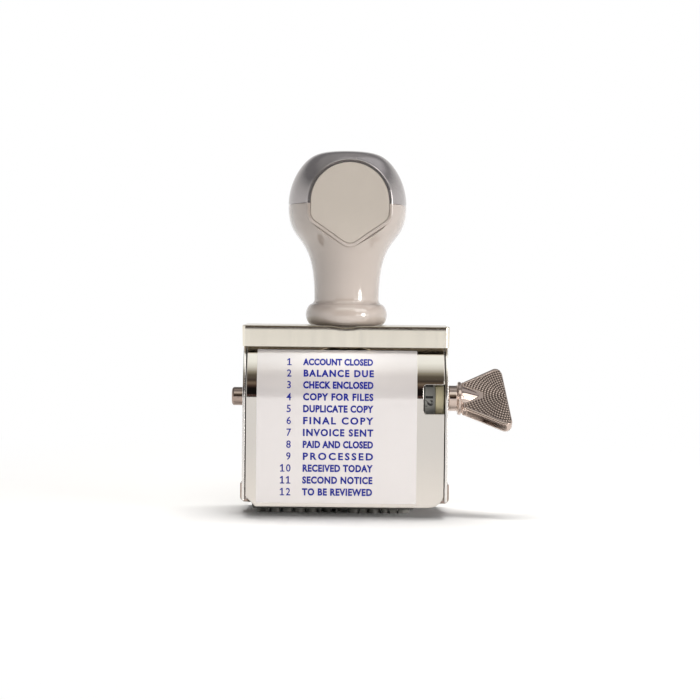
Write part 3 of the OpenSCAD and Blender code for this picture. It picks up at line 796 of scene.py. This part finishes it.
def front_place(length, proud):
    radius = SHOULDER_ROUND + proud
    if length < shoulder_z:
        return -HALF_D - proud, length
    angle = math.pi - (length - shoulder_z) / radius
    return shoulder_y + radius * math.cos(angle), shoulder_z + radius * math.sin(angle)


card_turn = math.asin((card_high.z - shoulder_z) / (SHOULDER_ROUND + CARD_T))
card_length = shoulder_z + card_turn * (SHOULDER_ROUND + CARD_T)
line = [front_place(card_low.z, CARD_T)]
line += [front_place(t, CARD_T) for t in steps(40, shoulder_z, card_length)]
card = draw("label_sheet", [(card_low.x, y, z) for y, z in line])
extrude((card_high.x - card_low.x, 0, 0))
tidy_normals()
if card.data.polygons[0].normal.y > 0:
    card.data.flip_normals()
modify(card, "SOLIDIFY", thickness=CARD_T, offset=-1)
soften(card, CARD_SOFT)
done(card, label_card, "body", "label_card", "label")

# %% Letters and figures
LETTER_W = 0.9
LETTER_GIVE = 0.6
BOLD_LETTER = 0.8
WIDE_GAPS = 1.2


def lettering(name, words, height, depth=0.0, align="LEFT", bold=0.0, spacing=1.0):
    deselect()
    bpy.ops.object.text_add()
    text = bpy.context.object
    text.data.body = words
    text.data.align_x = align
    text.data.offset = bold
    text.data.space_character = spacing
    text.data.resolution_u = 3
    text.data.extrude = depth / height / 2 if depth else 0
    bpy.ops.object.convert(target="MESH")
    piece = named(name)
    piece.data.transform(Matrix.Scale(height / extent(piece, 1), 4))
    return piece


def figure_one(height):
    line = [(0.30, 0.0), (0.30, 0.13), (0.09, 0.13), (0.09, 1.0), (-0.07, 1.0), (-0.30, 0.80),
            (-0.30, 0.64), (-0.09, 0.79), (-0.09, 0.13), (-0.30, 0.13), (-0.30, 0.0)]
    piece = draw("digit", [(x * height, y * height, 0) for x, y in line], closed=True)
    leave()
    return piece


def set_width(piece, width):
    piece.data.transform(Matrix.Scale(width / extent(piece, 0), 4, (1, 0, 0)))


def spaced(words, height, width, **settings):
    widths = []
    for spacing in (1.0, WIDE_GAPS):
        trial = lettering("trial", words, height, spacing=spacing, **settings)
        widths.append(extent(trial, 0))
        bpy.data.objects.remove(trial)
    letters = LETTER_W * (width / widths[0]) ** LETTER_GIVE
    wanted = 1 + (WIDE_GAPS - 1) * (width / letters - widths[0]) / (widths[1] - widths[0])
    settings["bold"] *= min(1.0, BOLD_LETTER / letters)
    phrase = lettering("phrase", words, height, spacing=wanted, **settings)
    set_width(phrase, width)
    return phrase


# %% The print
ROWS = ["ACCOUNT CLOSED", "BALANCE DUE", "CHECK ENCLOSED", "COPY FOR FILES", "DUPLICATE COPY",
        "FINAL COPY", "INVOICE SENT", "PAID AND CLOSED", "PROCESSED", "RECEIVED TODAY",
        "SECOND NOTICE", "TO BE REVIEWED"]
ROW_PITCH = 3.17 * MM
LAST_ROW = 7.0 * MM
CAP_H = 2.0 * MM
UNITS_X = -15.0 * MM
DIGIT_STEP = 1.6 * MM
DIGIT_W = 0.95
DIGIT_BOLD = 0.012
WORDS_X = -11.25 * MM
WORDS_W = 18.7 * MM
PRINT_RISE = 0.04 * MM
PRINT_BOLD = 0.05


def on_card(piece, x, length):
    low = low_corner(piece).y

    def wrap(point):
        y, z = front_place(length - CAP_H / 2 + point.y - low, CARD_T + PRINT_RISE)
        return Vector((x + point.x, y, z))

    move_points(piece, wrap)


# %% Set the rows on the card
printed = []
for row, words in enumerate(ROWS):
    length = LAST_ROW + (len(ROWS) - 1 - row) * ROW_PITCH
    for place, digit in enumerate(reversed(str(row + 1))):
        if digit == "1":
            figure = figure_one(CAP_H)
        else:
            figure = lettering("digit", digit, CAP_H, align="CENTER", bold=DIGIT_BOLD)
            figure.data.transform(Matrix.Scale(DIGIT_W, 4, (1, 0, 0)))
        on_card(figure, UNITS_X - place * DIGIT_STEP, length)
        printed.append(figure)
    phrase = spaced(words, CAP_H, WORDS_W, bold=PRINT_BOLD)
    on_card(phrase, WORDS_X, length)
    printed.append(phrase)
ink = join(printed, "label_print")
done(ink, label_ink, "body", "label_card")

# %% [markdown]
# ## The wing key
# The key is a casting: a short neck, a flange, a round nose and a wing whose faces are covered with
# small pebbles in arcs, so that fingers don't slip. Castings have no sharp inner corners. The forms
# are therefore joined, remeshed into one skin and smoothed, and the pebbles are raised last.
# Painted shade is kept with the mesh, deep between the pebbles and in a band on the wing's edges,
# and the finish darkens it.

# %% Forms of the key
key_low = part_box("key")[0]
NECK = 3.5 * MM
FLANGE = 4.55 * MM
FLANGE_X = key_low.x + 2.6 * MM
NOSE_X = FLANGE_X + 1.05 * MM
NOSE_R = 3.3 * MM
NOSE_L = 8.0 * MM
NOSE_POWER = 1.15
ROOT_HALF = 5.0 * MM
WING_L = 12.6 * MM
WING_HALF = 10.0 * MM
WING_T = 3.0 * MM
WING_CORNER = 1.9 * MM
WING_SLANT = 0.11
WING_ROUND = 0.85 * MM
LOWER_REACH = 1.07
ROOT_L = 1.0 * MM
KEY_ROLL = math.radians(45)
KEY_VOXEL = 0.11 * MM
EDGE = 0.25 * MM
ALONG = (1, 0, 0)

key_line = [(key_low.x, 0), (key_low.x, NECK - EDGE), (key_low.x + EDGE, NECK)]
key_line += [(FLANGE_X - EDGE, NECK), (FLANGE_X, NECK + EDGE), (FLANGE_X, FLANGE - EDGE)]
key_line += [(FLANGE_X + EDGE, FLANGE), (NOSE_X - EDGE, FLANGE), (NOSE_X, FLANGE - EDGE)]
key_line += [(NOSE_X + NOSE_L * t, NOSE_R * (1 - t ** NOSE_POWER)) for t in steps(24)]
key = turn("key_casting", [(x, 0, r) for x, r in key_line], ALONG, steps=96)


def slanted(x, z):
    return x - WING_SLANT * z * (x - NOSE_X) / WING_L


def lower_reach(z):
    return z if z > 0 else z * LOWER_REACH


corner = (NOSE_X + WING_L - WING_CORNER, WING_HALF - WING_CORNER)
rise = math.degrees(math.atan2(corner[1] - ROOT_HALF + WING_CORNER, corner[0] - NOSE_X - ROOT_L))
wing_line = [(NOSE_X, ROOT_HALF), (NOSE_X + ROOT_L, ROOT_HALF)]
wing_line += arc(corner, WING_CORNER, 90 + rise, 0, 12)
wing_line += [(x, -z) for x, z in reversed(wing_line)]
wing_points = [(slanted(x, z), -WING_T / 2, lower_reach(z)) for x, z in wing_line]
wing = draw("wing", wing_points, closed=True)
extrude((0, WING_T, 0))
tidy_normals()
round_edges(wing, WING_ROUND, segments=4)
key = join([key, wing], "key_casting")
modify(key, "REMESH", mode="VOXEL", voxel_size=KEY_VOXEL, adaptivity=0)
modify(key, "SMOOTH", factor=0.5, iterations=6)
print(faces_of(key))

# %% Pebbles in arcs on both faces of the wing
PEBBLE_ROW = 0.78 * MM
PEBBLE_STEP = 0.68 * MM
PEBBLE_R = 0.4 * MM
PEBBLE_H = 0.22 * MM
RIM_W = 0.85 * MM
RIM_H = 0.2 * MM
OUTER_W = 0.5 * MM
FACE_FROM = 0.4 * WING_T
FACE_TO = 0.6 * WING_T
NOSE_SHARE = 0.75
# Where the band of painted shade on the wing's edges starts, and how near the edge it lies.
SHADED_EDGE_FROM = NOSE_X + 1.5 * MM
SHADED_EDGE_W = 0.1 * MM
KEY_CREASE = 60
ARC_CENTER = NOSE_X + WING_L


def pebble(x, z):
    radius = math.hypot(x - ARC_CENTER, z)
    ring = round(radius / PEBBLE_ROW)
    along = math.atan2(z, ARC_CENTER - x) * ring * PEBBLE_ROW
    shift = PEBBLE_STEP * (ring % 2) / 2
    step = along - shift - round((along - shift) / PEBBLE_STEP) * PEBBLE_STEP
    away = math.hypot(radius - ring * PEBBLE_ROW, step) / PEBBLE_R
    return max(0.0, 1 - away * away)


def texture(point):
    x, y, reached = point
    z = reached if reached > 0 else reached / LOWER_REACH
    straight = x + WING_SLANT * z * (x - NOSE_X) / WING_L
    lean = math.radians(rise)
    side = (ROOT_HALF + (straight - NOSE_X - ROOT_L) * math.tan(lean) - abs(z)) * math.cos(lean)
    share = max(0.0, (x - NOSE_X) / NOSE_L)
    nose = NOSE_R * (1 - min(1.0, share) ** NOSE_POWER)
    on_nose = abs(z) <= nose and share <= NOSE_SHARE
    # The wing's top and bottom edges get painted shade, darker towards the front face.
    if abs(y) < FACE_FROM and x > SHADED_EDGE_FROM and side < SHADED_EDGE_W:
        return point, 0.5 - y / WING_T
    if not FACE_FROM <= abs(y) <= FACE_TO or x < NOSE_X + ROOT_L or on_nose:
        return point, 0.0
    if side < RIM_W or NOSE_X + WING_L - straight < OUTER_W:
        return Vector((x, y + math.copysign(RIM_H * (side < RIM_W), y), reached)), 0.0
    bulge = pebble(x, z)
    return Vector((x, y + math.copysign(PEBBLE_H * bulge, y), reached)), 1 - bulge


# Each point keeps its painted shade: deep between the pebbles, banded along the edges.
painted_shade_values = key.data.attributes.new("painted_shade", "FLOAT", "POINT")
for number, point in enumerate(key.data.vertices):
    point.co, painted_shade_values.data[number].value = texture(point.co)
modify(key, "SMOOTH", factor=0.4, iterations=1)
roll = Matrix.Translation((0, 0, axle_z)) @ Matrix.Rotation(-KEY_ROLL, 4, "X")
key.data.transform(roll)
key.data.update()
shade(key, KEY_CREASE)
done(key, copper_nickel, "drive", "cast_key", "key")

# %% [markdown]
# ## The number dial
# The dial turns with the drum, and its numbers pass the window. The numbers are lettering laid
# round the rim, sideways, so that a two-figure number fits the narrow band.

# %% Dial
dial_low, dial_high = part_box("number_dial")
dial_r = (dial_high.z - dial_low.z) / 2
DIAL_BORE = 2.55 * MM
DIAL_STEPS = 120
DIAL_CREASE = 40
dial_line = [(dial_low.x, DIAL_BORE), (dial_low.x, dial_r - EDGE), (dial_low.x + EDGE, dial_r)]
dial_line += [(dial_high.x - EDGE, dial_r), (dial_high.x, dial_r - EDGE), (dial_high.x, DIAL_BORE)]
dial_line += [(dial_low.x, DIAL_BORE)]
dial_points = [(x, 0, axle_z + r) for x, r in dial_line]
dial = turn("dial_ring", dial_points, ALONG, (0, 0, axle_z), DIAL_STEPS)
shade(dial, DIAL_CREASE)
done(dial, dial_plastic, "drive", "dial_plastic", "number_dial")

# %% Numbers round the dial
FIGURE_H = 2.1 * MM
FIGURE_W = 1.25
FIGURE_BOLD = 0.05
FIGURE_IN = 0.5 * MM
FIGURE_RISE = 0.015 * MM


def on_dial(piece, middle):
    radius = dial_r + FIGURE_RISE

    def wrap(point):
        angle = middle + point.x / dial_r
        x = dial_low.x + FIGURE_IN + point.y
        return Vector((x, radius * math.cos(angle), axle_z + radius * math.sin(angle)))

    move_points(piece, wrap)


figures = []
for number in range(1, len(ROWS) + 1):
    figure = lettering("figure", str(number), FIGURE_H, align="CENTER", bold=FIGURE_BOLD)
    figure.data.transform(Matrix.Scale(FIGURE_W, 4, (1, 0, 0)))
    on_dial(figure, math.radians(180 + 360 / len(ROWS) * number))
    figures.append(figure)
dial_numbers = join(figures, "dial_numbers")
done(dial_numbers, dial_ink, "drive", "dial_plastic")

# %% [markdown]
# ## The type band
# The band is soft rubber that runs over the drum and round the platen, with a row of raised type
# for each line of the list. The loop is pulled from its section, and each row of letters is raised
# from lettering and turned to its place on the loop.

# %% Loop of the band
band_low, band_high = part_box("type_band")
BAND_T = 1.6 * MM
TYPE_H = 1.3 * MM
EDGE_Y = 3.2 * MM
PLATEN_EDGE = 1.3 * MM
DRUM_RUN = 6.4 * MM
BAND_SOFT = 0.2 * MM
edge_z = TYPE_H + BAND_T + PLATEN_EDGE
span = math.hypot(EDGE_Y, axle_z - edge_z)
to_drum = math.atan2(axle_z - edge_z, -EDGE_Y)
lean = math.degrees(to_drum - math.acos((PLATEN_EDGE - DRUM_RUN) / span))
outer_edge = PLATEN_EDGE + BAND_T
outer_run = DRUM_RUN + BAND_T
half = arc((EDGE_Y, edge_z), outer_edge, -90, lean, 16)
half += arc((0, axle_z), outer_run, lean, 90, 32)
loop_line = half + [(-y, z) for y, z in reversed(half[:-1])]
band = draw("band_loop", [(band_low.x, y, z) for y, z in loop_line + loop_line[:1]])
extrude((band_high.x - band_low.x, 0, 0))
tidy_normals()
modify(band, "SOLIDIFY", thickness=BAND_T, offset=-1, use_even_offset=True)
soften(band, BAND_SOFT)
print(faces_of(band))

# %% Places along the loop
MID = BAND_T / 2
strand = math.sqrt(span ** 2 - (DRUM_RUN - PLATEN_EDGE) ** 2)
edge_arc = (PLATEN_EDGE + MID) * math.radians(lean + 90)
drum_arc = (DRUM_RUN + MID) * math.radians(90 - lean)
half_loop = EDGE_Y + edge_arc + strand + drum_arc


def band_place(s):
    if s > half_loop:
        y, z, angle = band_place(2 * half_loop - s)
        return -y, z, 180 - angle
    if s <= EDGE_Y:
        return s, TYPE_H, -90
    s -= EDGE_Y
    if s <= edge_arc:
        angle = -90 + math.degrees(s / (PLATEN_EDGE + MID))
        y, z = arc((EDGE_Y, edge_z), outer_edge, angle, angle, 1)[0]
        return y, z, angle
    s -= edge_arc
    if s <= strand:
        y, z = arc((EDGE_Y, edge_z), outer_edge, lean, lean, 1)[0]
        a = math.radians(lean)
        return y - s * math.sin(a), z + s * math.cos(a), lean
    angle = lean + math.degrees((s - strand) / (DRUM_RUN + MID))
    y, z = arc((0, axle_z), outer_run, angle, angle, 1)[0]
    return y, z, angle


print("Length of the loop, mm:", round(2 * half_loop / MM, 1))

# %% Rows of type
TYPE_SIZE = 4.5 * MM
TYPE_W = 41.5 * MM
TYPE_ROOT = 0.5 * MM
TYPE_LIFT = 0.53 * MM
start_x = (band_low.x + band_high.x - TYPE_W) / 2
rows = [band]
for row, words in enumerate(ROWS):
    y, z, angle = band_place(row * 2 * half_loop / len(ROWS))
    raised = lettering("row", words, TYPE_SIZE, depth=TYPE_H + TYPE_ROOT)
    set_width(raised, TYPE_W)
    low = low_corner(raised)
    middle = Vector((0, low.y + TYPE_SIZE / 2, low.z + TYPE_H + TYPE_ROOT))
    raised.data.transform(Matrix.Translation(-middle - Vector((low.x, 0, 0))))
    place = Matrix.Translation((start_x, y, z)) @ Matrix.Rotation(math.radians(angle + 90), 4, "X")
    raised.data.transform(place @ Matrix.Translation((0, 0, TYPE_LIFT)))
    rows.append(raised)
band = join(rows, "band_loop")
shade(band)
done(band, type_rubber, "body", "type_rubber", "type_band")

# %% [markdown]
# ## Small metal and moulded pieces
# Axle, drum, insert, screw, washers, clip, rivets and pins keep their solids, which already have
# the right shape. Each gets the finish of what it is made of.

# %% Finishes for the pieces that stay as they are
STAYING = {
    "handle_insert": brass, "handle_screw": plated_steel, "lock_washer": plated_steel,
    "axle": axle_steel_and_platen_shade, "drum": drum_plastic, "drum_pin": plated_steel,
    "retaining_clip": plated_steel, "spring_rivet": plated_steel,
    "thrust_washer": plated_steel, "key_pin": plated_steel, "platen_rivets": plated_steel,
}
for node, material in STAYING.items():
    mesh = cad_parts[node].data
    mesh.materials.clear()
    mesh.materials.append(material)
print("Pieces that stay:", ", ".join(STAYING))

# %% [markdown]
# ## The floor
# The photograph is a bright packshot on a white sweep. Close to the stamp the floor is painted, and
# takes its shadow. Further out it fades to plain white for every ray that looks straight at it, so
# the sweep has no edge. Light that only bounces about still meets the paint.

# %% Helpers for the stage
def grey(value):
    return value, value, value


def bare_tree(owner):
    owner.use_nodes = True
    owner.node_tree.nodes.clear()
    return owner.node_tree


def seen_directly(tree):
    rays = add(tree, "LightPath")
    seen = rays["Is Camera Ray"]
    for kind in ("Is Glossy Ray", "Is Transmission Ray"):
        feeds = {0: seen, 1: rays[kind]}
        seen = add(tree, "Math", feeds, operation="ADD", use_clamp=True)[0]
    return seen


def smooth_step(tree, source, low, high):
    feeds = {"Value": source, "From Min": low, "From Max": high}
    return add(tree, "MapRange", feeds, interpolation_type="SMOOTHSTEP")["Result"]


# %% Floor
FLOOR_SIZE = 6.0
FLOOR_GREY = 0.9
FADE_FROM = 0.04
FADE_TO = 0.25
deselect()
bpy.ops.mesh.primitive_plane_add(size=FLOOR_SIZE)
floor = named("floor")
floor_paint = bpy.data.materials.new("floor_paint")
tree = bare_tree(floor_paint)
place = add(tree, "TexCoord")["Object"]
distance = add(tree, "VectorMath", {0: place}, operation="LENGTH")["Value"]
far = smooth_step(tree, distance, FADE_FROM, FADE_TO)
share = add(tree, "Math", {0: seen_directly(tree), 1: far}, operation="MULTIPLY")[0]
paint = add(tree, "BsdfDiffuse", {"Color": (*grey(FLOOR_GREY), 1)})["BSDF"]
white = add(tree, "Emission")["Emission"]
surface = add(tree, "MixShader", {"Fac": share, 1: paint, 2: white})["Shader"]
add(tree, "OutputMaterial", {"Surface": surface})
floor.data.materials.append(floor_paint)
print("Floor fades to white from", FADE_FROM, "to", FADE_TO, "m")

# %% [markdown]
# ## The light tent
# Bright sheet shows little but the room that it mirrors: here a light one, with a dark side behind
# the camera. A tent round the table plays that room, in shades by height above the table. Two
# bright panes in it draw the streaks on the handle and the metal. Only reflections see the tent, so
# it neither shades the object nor enters a view.

# %% Heights and headings in the tent
TENT_R = 2.4
deselect()
bpy.ops.mesh.primitive_uv_sphere_add(segments=64, ring_count=32, radius=TENT_R)
tent = named("light_tent")
tent_paint = bpy.data.materials.new("tent_paint")
tree = bare_tree(tent_paint)
place = add(tree, "TexCoord")["Object"]
unit = add(tree, "VectorMath", {0: place}, operation="NORMALIZE")[0]
rise_of_ray = add(tree, "SeparateXYZ", {0: unit})["Z"]
angle = add(tree, "Math", {0: rise_of_ray}, operation="ARCSINE")[0]
height = add(tree, "Math", {0: angle, 1: QUARTER}, operation="DIVIDE")[0]
level = add(tree, "VectorMath", {0: unit, 1: (1, 1, 0)}, operation="MULTIPLY")[0]
heading = add(tree, "VectorMath", {0: level}, operation="NORMALIZE")[0]
ahead = add(tree, "SeparateXYZ", {0: heading})["Y"]
print("Tent radius, m:", TENT_R)

# %% Shades by height, in degrees, for the sides and for the front
FRONT_FROM = -0.72
FRONT_FULL = -0.86
DARK_SIDE = (0.13, 0.13, 0.14)
DARK_ROOM = (0.01, 0.008, 0.008)
SIDES = [(0, (0.95, 0.94, 0.93)), (10, (0.9, 0.89, 0.88)), (22, (0.66, 0.65, 0.64)),
         (28, grey(0.4)), (34, DARK_SIDE), (46, DARK_SIDE), (54, grey(0.28)), (72, grey(0.28)),
         (80, grey(0.6)), (90, grey(0.7))]
FRONT = [(0, DARK_ROOM), (2.5, (0.12, 0.07, 0.06)), (4, DARK_ROOM), (12, (0.01, 0.008, 0.007)),
         (15, (0.08, 0.05, 0.04)), (18.5, (0.25, 0.19, 0.14)), (22, (0.06, 0.045, 0.035)),
         (25, (0.12, 0.10, 0.08)), (29, (0.14, 0.12, 0.09)), (33, (0.37, 0.34, 0.27)),
         (40, (0.95, 0.95, 0.88)), (47, (1.25, 1.28, 1.22)), (60, (1.3, 1.33, 1.3)),
         (68, grey(0.25)), (76, grey(0.3)), (82, grey(0.65)), (90, grey(0.7))]


def shades(stops):
    node = tree.nodes.new("ShaderNodeValToRGB")
    ramp = node.color_ramp.elements
    while len(ramp) < len(stops):
        ramp.new(0.5)
    for element, (degrees, colour) in zip(ramp, stops):
        element.position = degrees / 90
        element.color = (*colour, 1)
    feed(tree, node, {"Fac": height})
    return node.outputs["Color"]


room = mixed(tree, smooth_step(tree, ahead, FRONT_FROM, FRONT_FULL), shades(SIDES), shades(FRONT))
print("Shades:", len(SIDES), "for the sides,", len(FRONT), "for the front")

# %% Two bright panes
RIGHT_PANE = [(0, 1), (8, 1), (10, 0), (24, 0), (27, 1), (46, 1), (51, 0)]
BACK_PANE = [(36, 0), (46, 1), (70, 1), (80, 0)]


def pane(behind, turn, half, fade, stops, colour):
    turn, half = math.radians(turn), math.radians(half)
    aim = (math.sin(turn), -math.cos(turn), 0)
    toward = add(tree, "VectorMath", {0: heading, 1: aim}, operation="DOT_PRODUCT")["Value"]
    within = smooth_step(tree, toward, math.cos(half + fade), math.cos(half))
    opening = shades([(degrees, grey(value)) for degrees, value in stops])
    part = add(tree, "Math", {0: within, 1: opening}, operation="MULTIPLY")[0]
    return mixed(tree, part, behind, (*colour, 1))


room = pane(room, turn=47, half=19, fade=0.03, stops=RIGHT_PANE, colour=(2.6, 2.55, 2.5))
room = pane(room, turn=115, half=22, fade=0.3, stops=BACK_PANE, colour=(0.6, 0.6, 0.62))
glow = add(tree, "Emission", {"Color": room})["Emission"]
add(tree, "OutputMaterial", {"Surface": glow})
tent.data.materials.append(tent_paint)
tent.visible_camera = False
tent.visible_diffuse = False
tent.visible_shadow = False
tent.visible_transmission = False
print("Nodes in the tent's paint:", len(tree.nodes))

# %% [markdown]
# ## World and lamps
# The world is white where it is looked at, and a dim grey where it only lights, so that the lamps
# shape the object. Soft lamps hang above, at both sides and in front. Metal would mirror them as
# hard squares, so all but one strip at the right are hidden from reflections. A narrow lamp lifts
# the bead at the handle's foot.

# %% World
AIR_GREY = 0.15
world = bpy.data.worlds.new("white_room")
bpy.context.scene.world = world
tree = bare_tree(world)
sky = mixed(tree, seen_directly(tree), (*grey(AIR_GREY), 1), (*grey(1), 1))
air = add(tree, "Background", {"Color": sky})["Background"]
add(tree, "OutputWorld", {"Surface": air})
print("World:", world.name)

# %% Lamps
MIDDLE = (0, 0, 0.05)
STRIP_AIM = (0, 0, 0.06)
BEAD_AIM = (0, -0.011, 0.0525)
WARM = (1.0, 0.98, 0.96)
WARMER = (1.0, 0.98, 0.95)


def lamp(name, kind, place, aim, watts, colour=WARM, mirrored=False, **settings):
    light = bpy.data.lights.new(name, kind)
    light.energy = watts
    light.color = colour
    for key, value in settings.items():
        setattr(light, key, value)
    holder = bpy.data.objects.new(name, light)
    holder.location = place
    holder.rotation_euler = (Vector(aim) - Vector(place)).to_track_quat("-Z", "Y").to_euler()
    holder.visible_glossy = mirrored
    bpy.context.scene.collection.objects.link(holder)


def softbox(name, place, size, watts, aim=MIDDLE, **settings):
    lamp(name, "AREA", place, aim, watts, shape="RECTANGLE", size=size[0], size_y=size[1],
         **settings)


softbox("top_softbox", place=(0.03, 0.13, 0.85), size=(0.6, 0.2), watts=6.5, colour=WARMER)
softbox("right_softbox", place=(0.7, -0.3, 0.13), size=(0.4, 0.2), watts=2.8)
softbox("left_softbox", place=(-0.75, -0.25, 0.13), size=(0.4, 0.2), watts=0.7)
softbox("front_softbox", place=(0.1, -0.55, 0.65), size=(0.4, 0.3), watts=1.45)
softbox("right_strip", place=(0.53, -0.46, 0.13), size=(0.12, 0.24), watts=1.1, aim=STRIP_AIM,
        mirrored=True)
lamp("handle_snoot", "SPOT", place=(0.08, -0.34, 0.4), aim=BEAD_AIM, watts=6,
     spot_size=math.radians(3.6), spot_blend=1, shadow_soft_size=0.01)
print("Lamps:", [light.name for light in bpy.data.lights])

# %% [markdown]
# ## The camera
# The camera stands where the photograph was taken from: level with the handle's neck, a little to
# the right, and tilted by a hair.

# %% Camera
EYE = Vector((1.1 * MM, -450 * MM, 60.7 * MM))
PITCH = math.radians(2.07)
ROLL = math.radians(0.6)
SENSOR_MM = 36
LENS_MM = 84.7
lens = bpy.data.cameras.new("photo_camera")
lens.sensor_width = SENSOR_MM
lens.lens = LENS_MM
camera = bpy.data.objects.new("photo_camera", lens)
look = Matrix.Rotation(QUARTER - PITCH, 4, "X") @ Matrix.Rotation(ROLL, 4, "Z")
camera.matrix_world = Matrix.Translation(EYE) @ look
bpy.context.scene.collection.objects.link(camera)
bpy.context.scene.camera = camera
bpy.context.scene.view_settings.view_transform = "Standard"
print("Camera:", LENS_MM, "mm lens at", [round(v / MM, 1) for v in EYE], "mm")
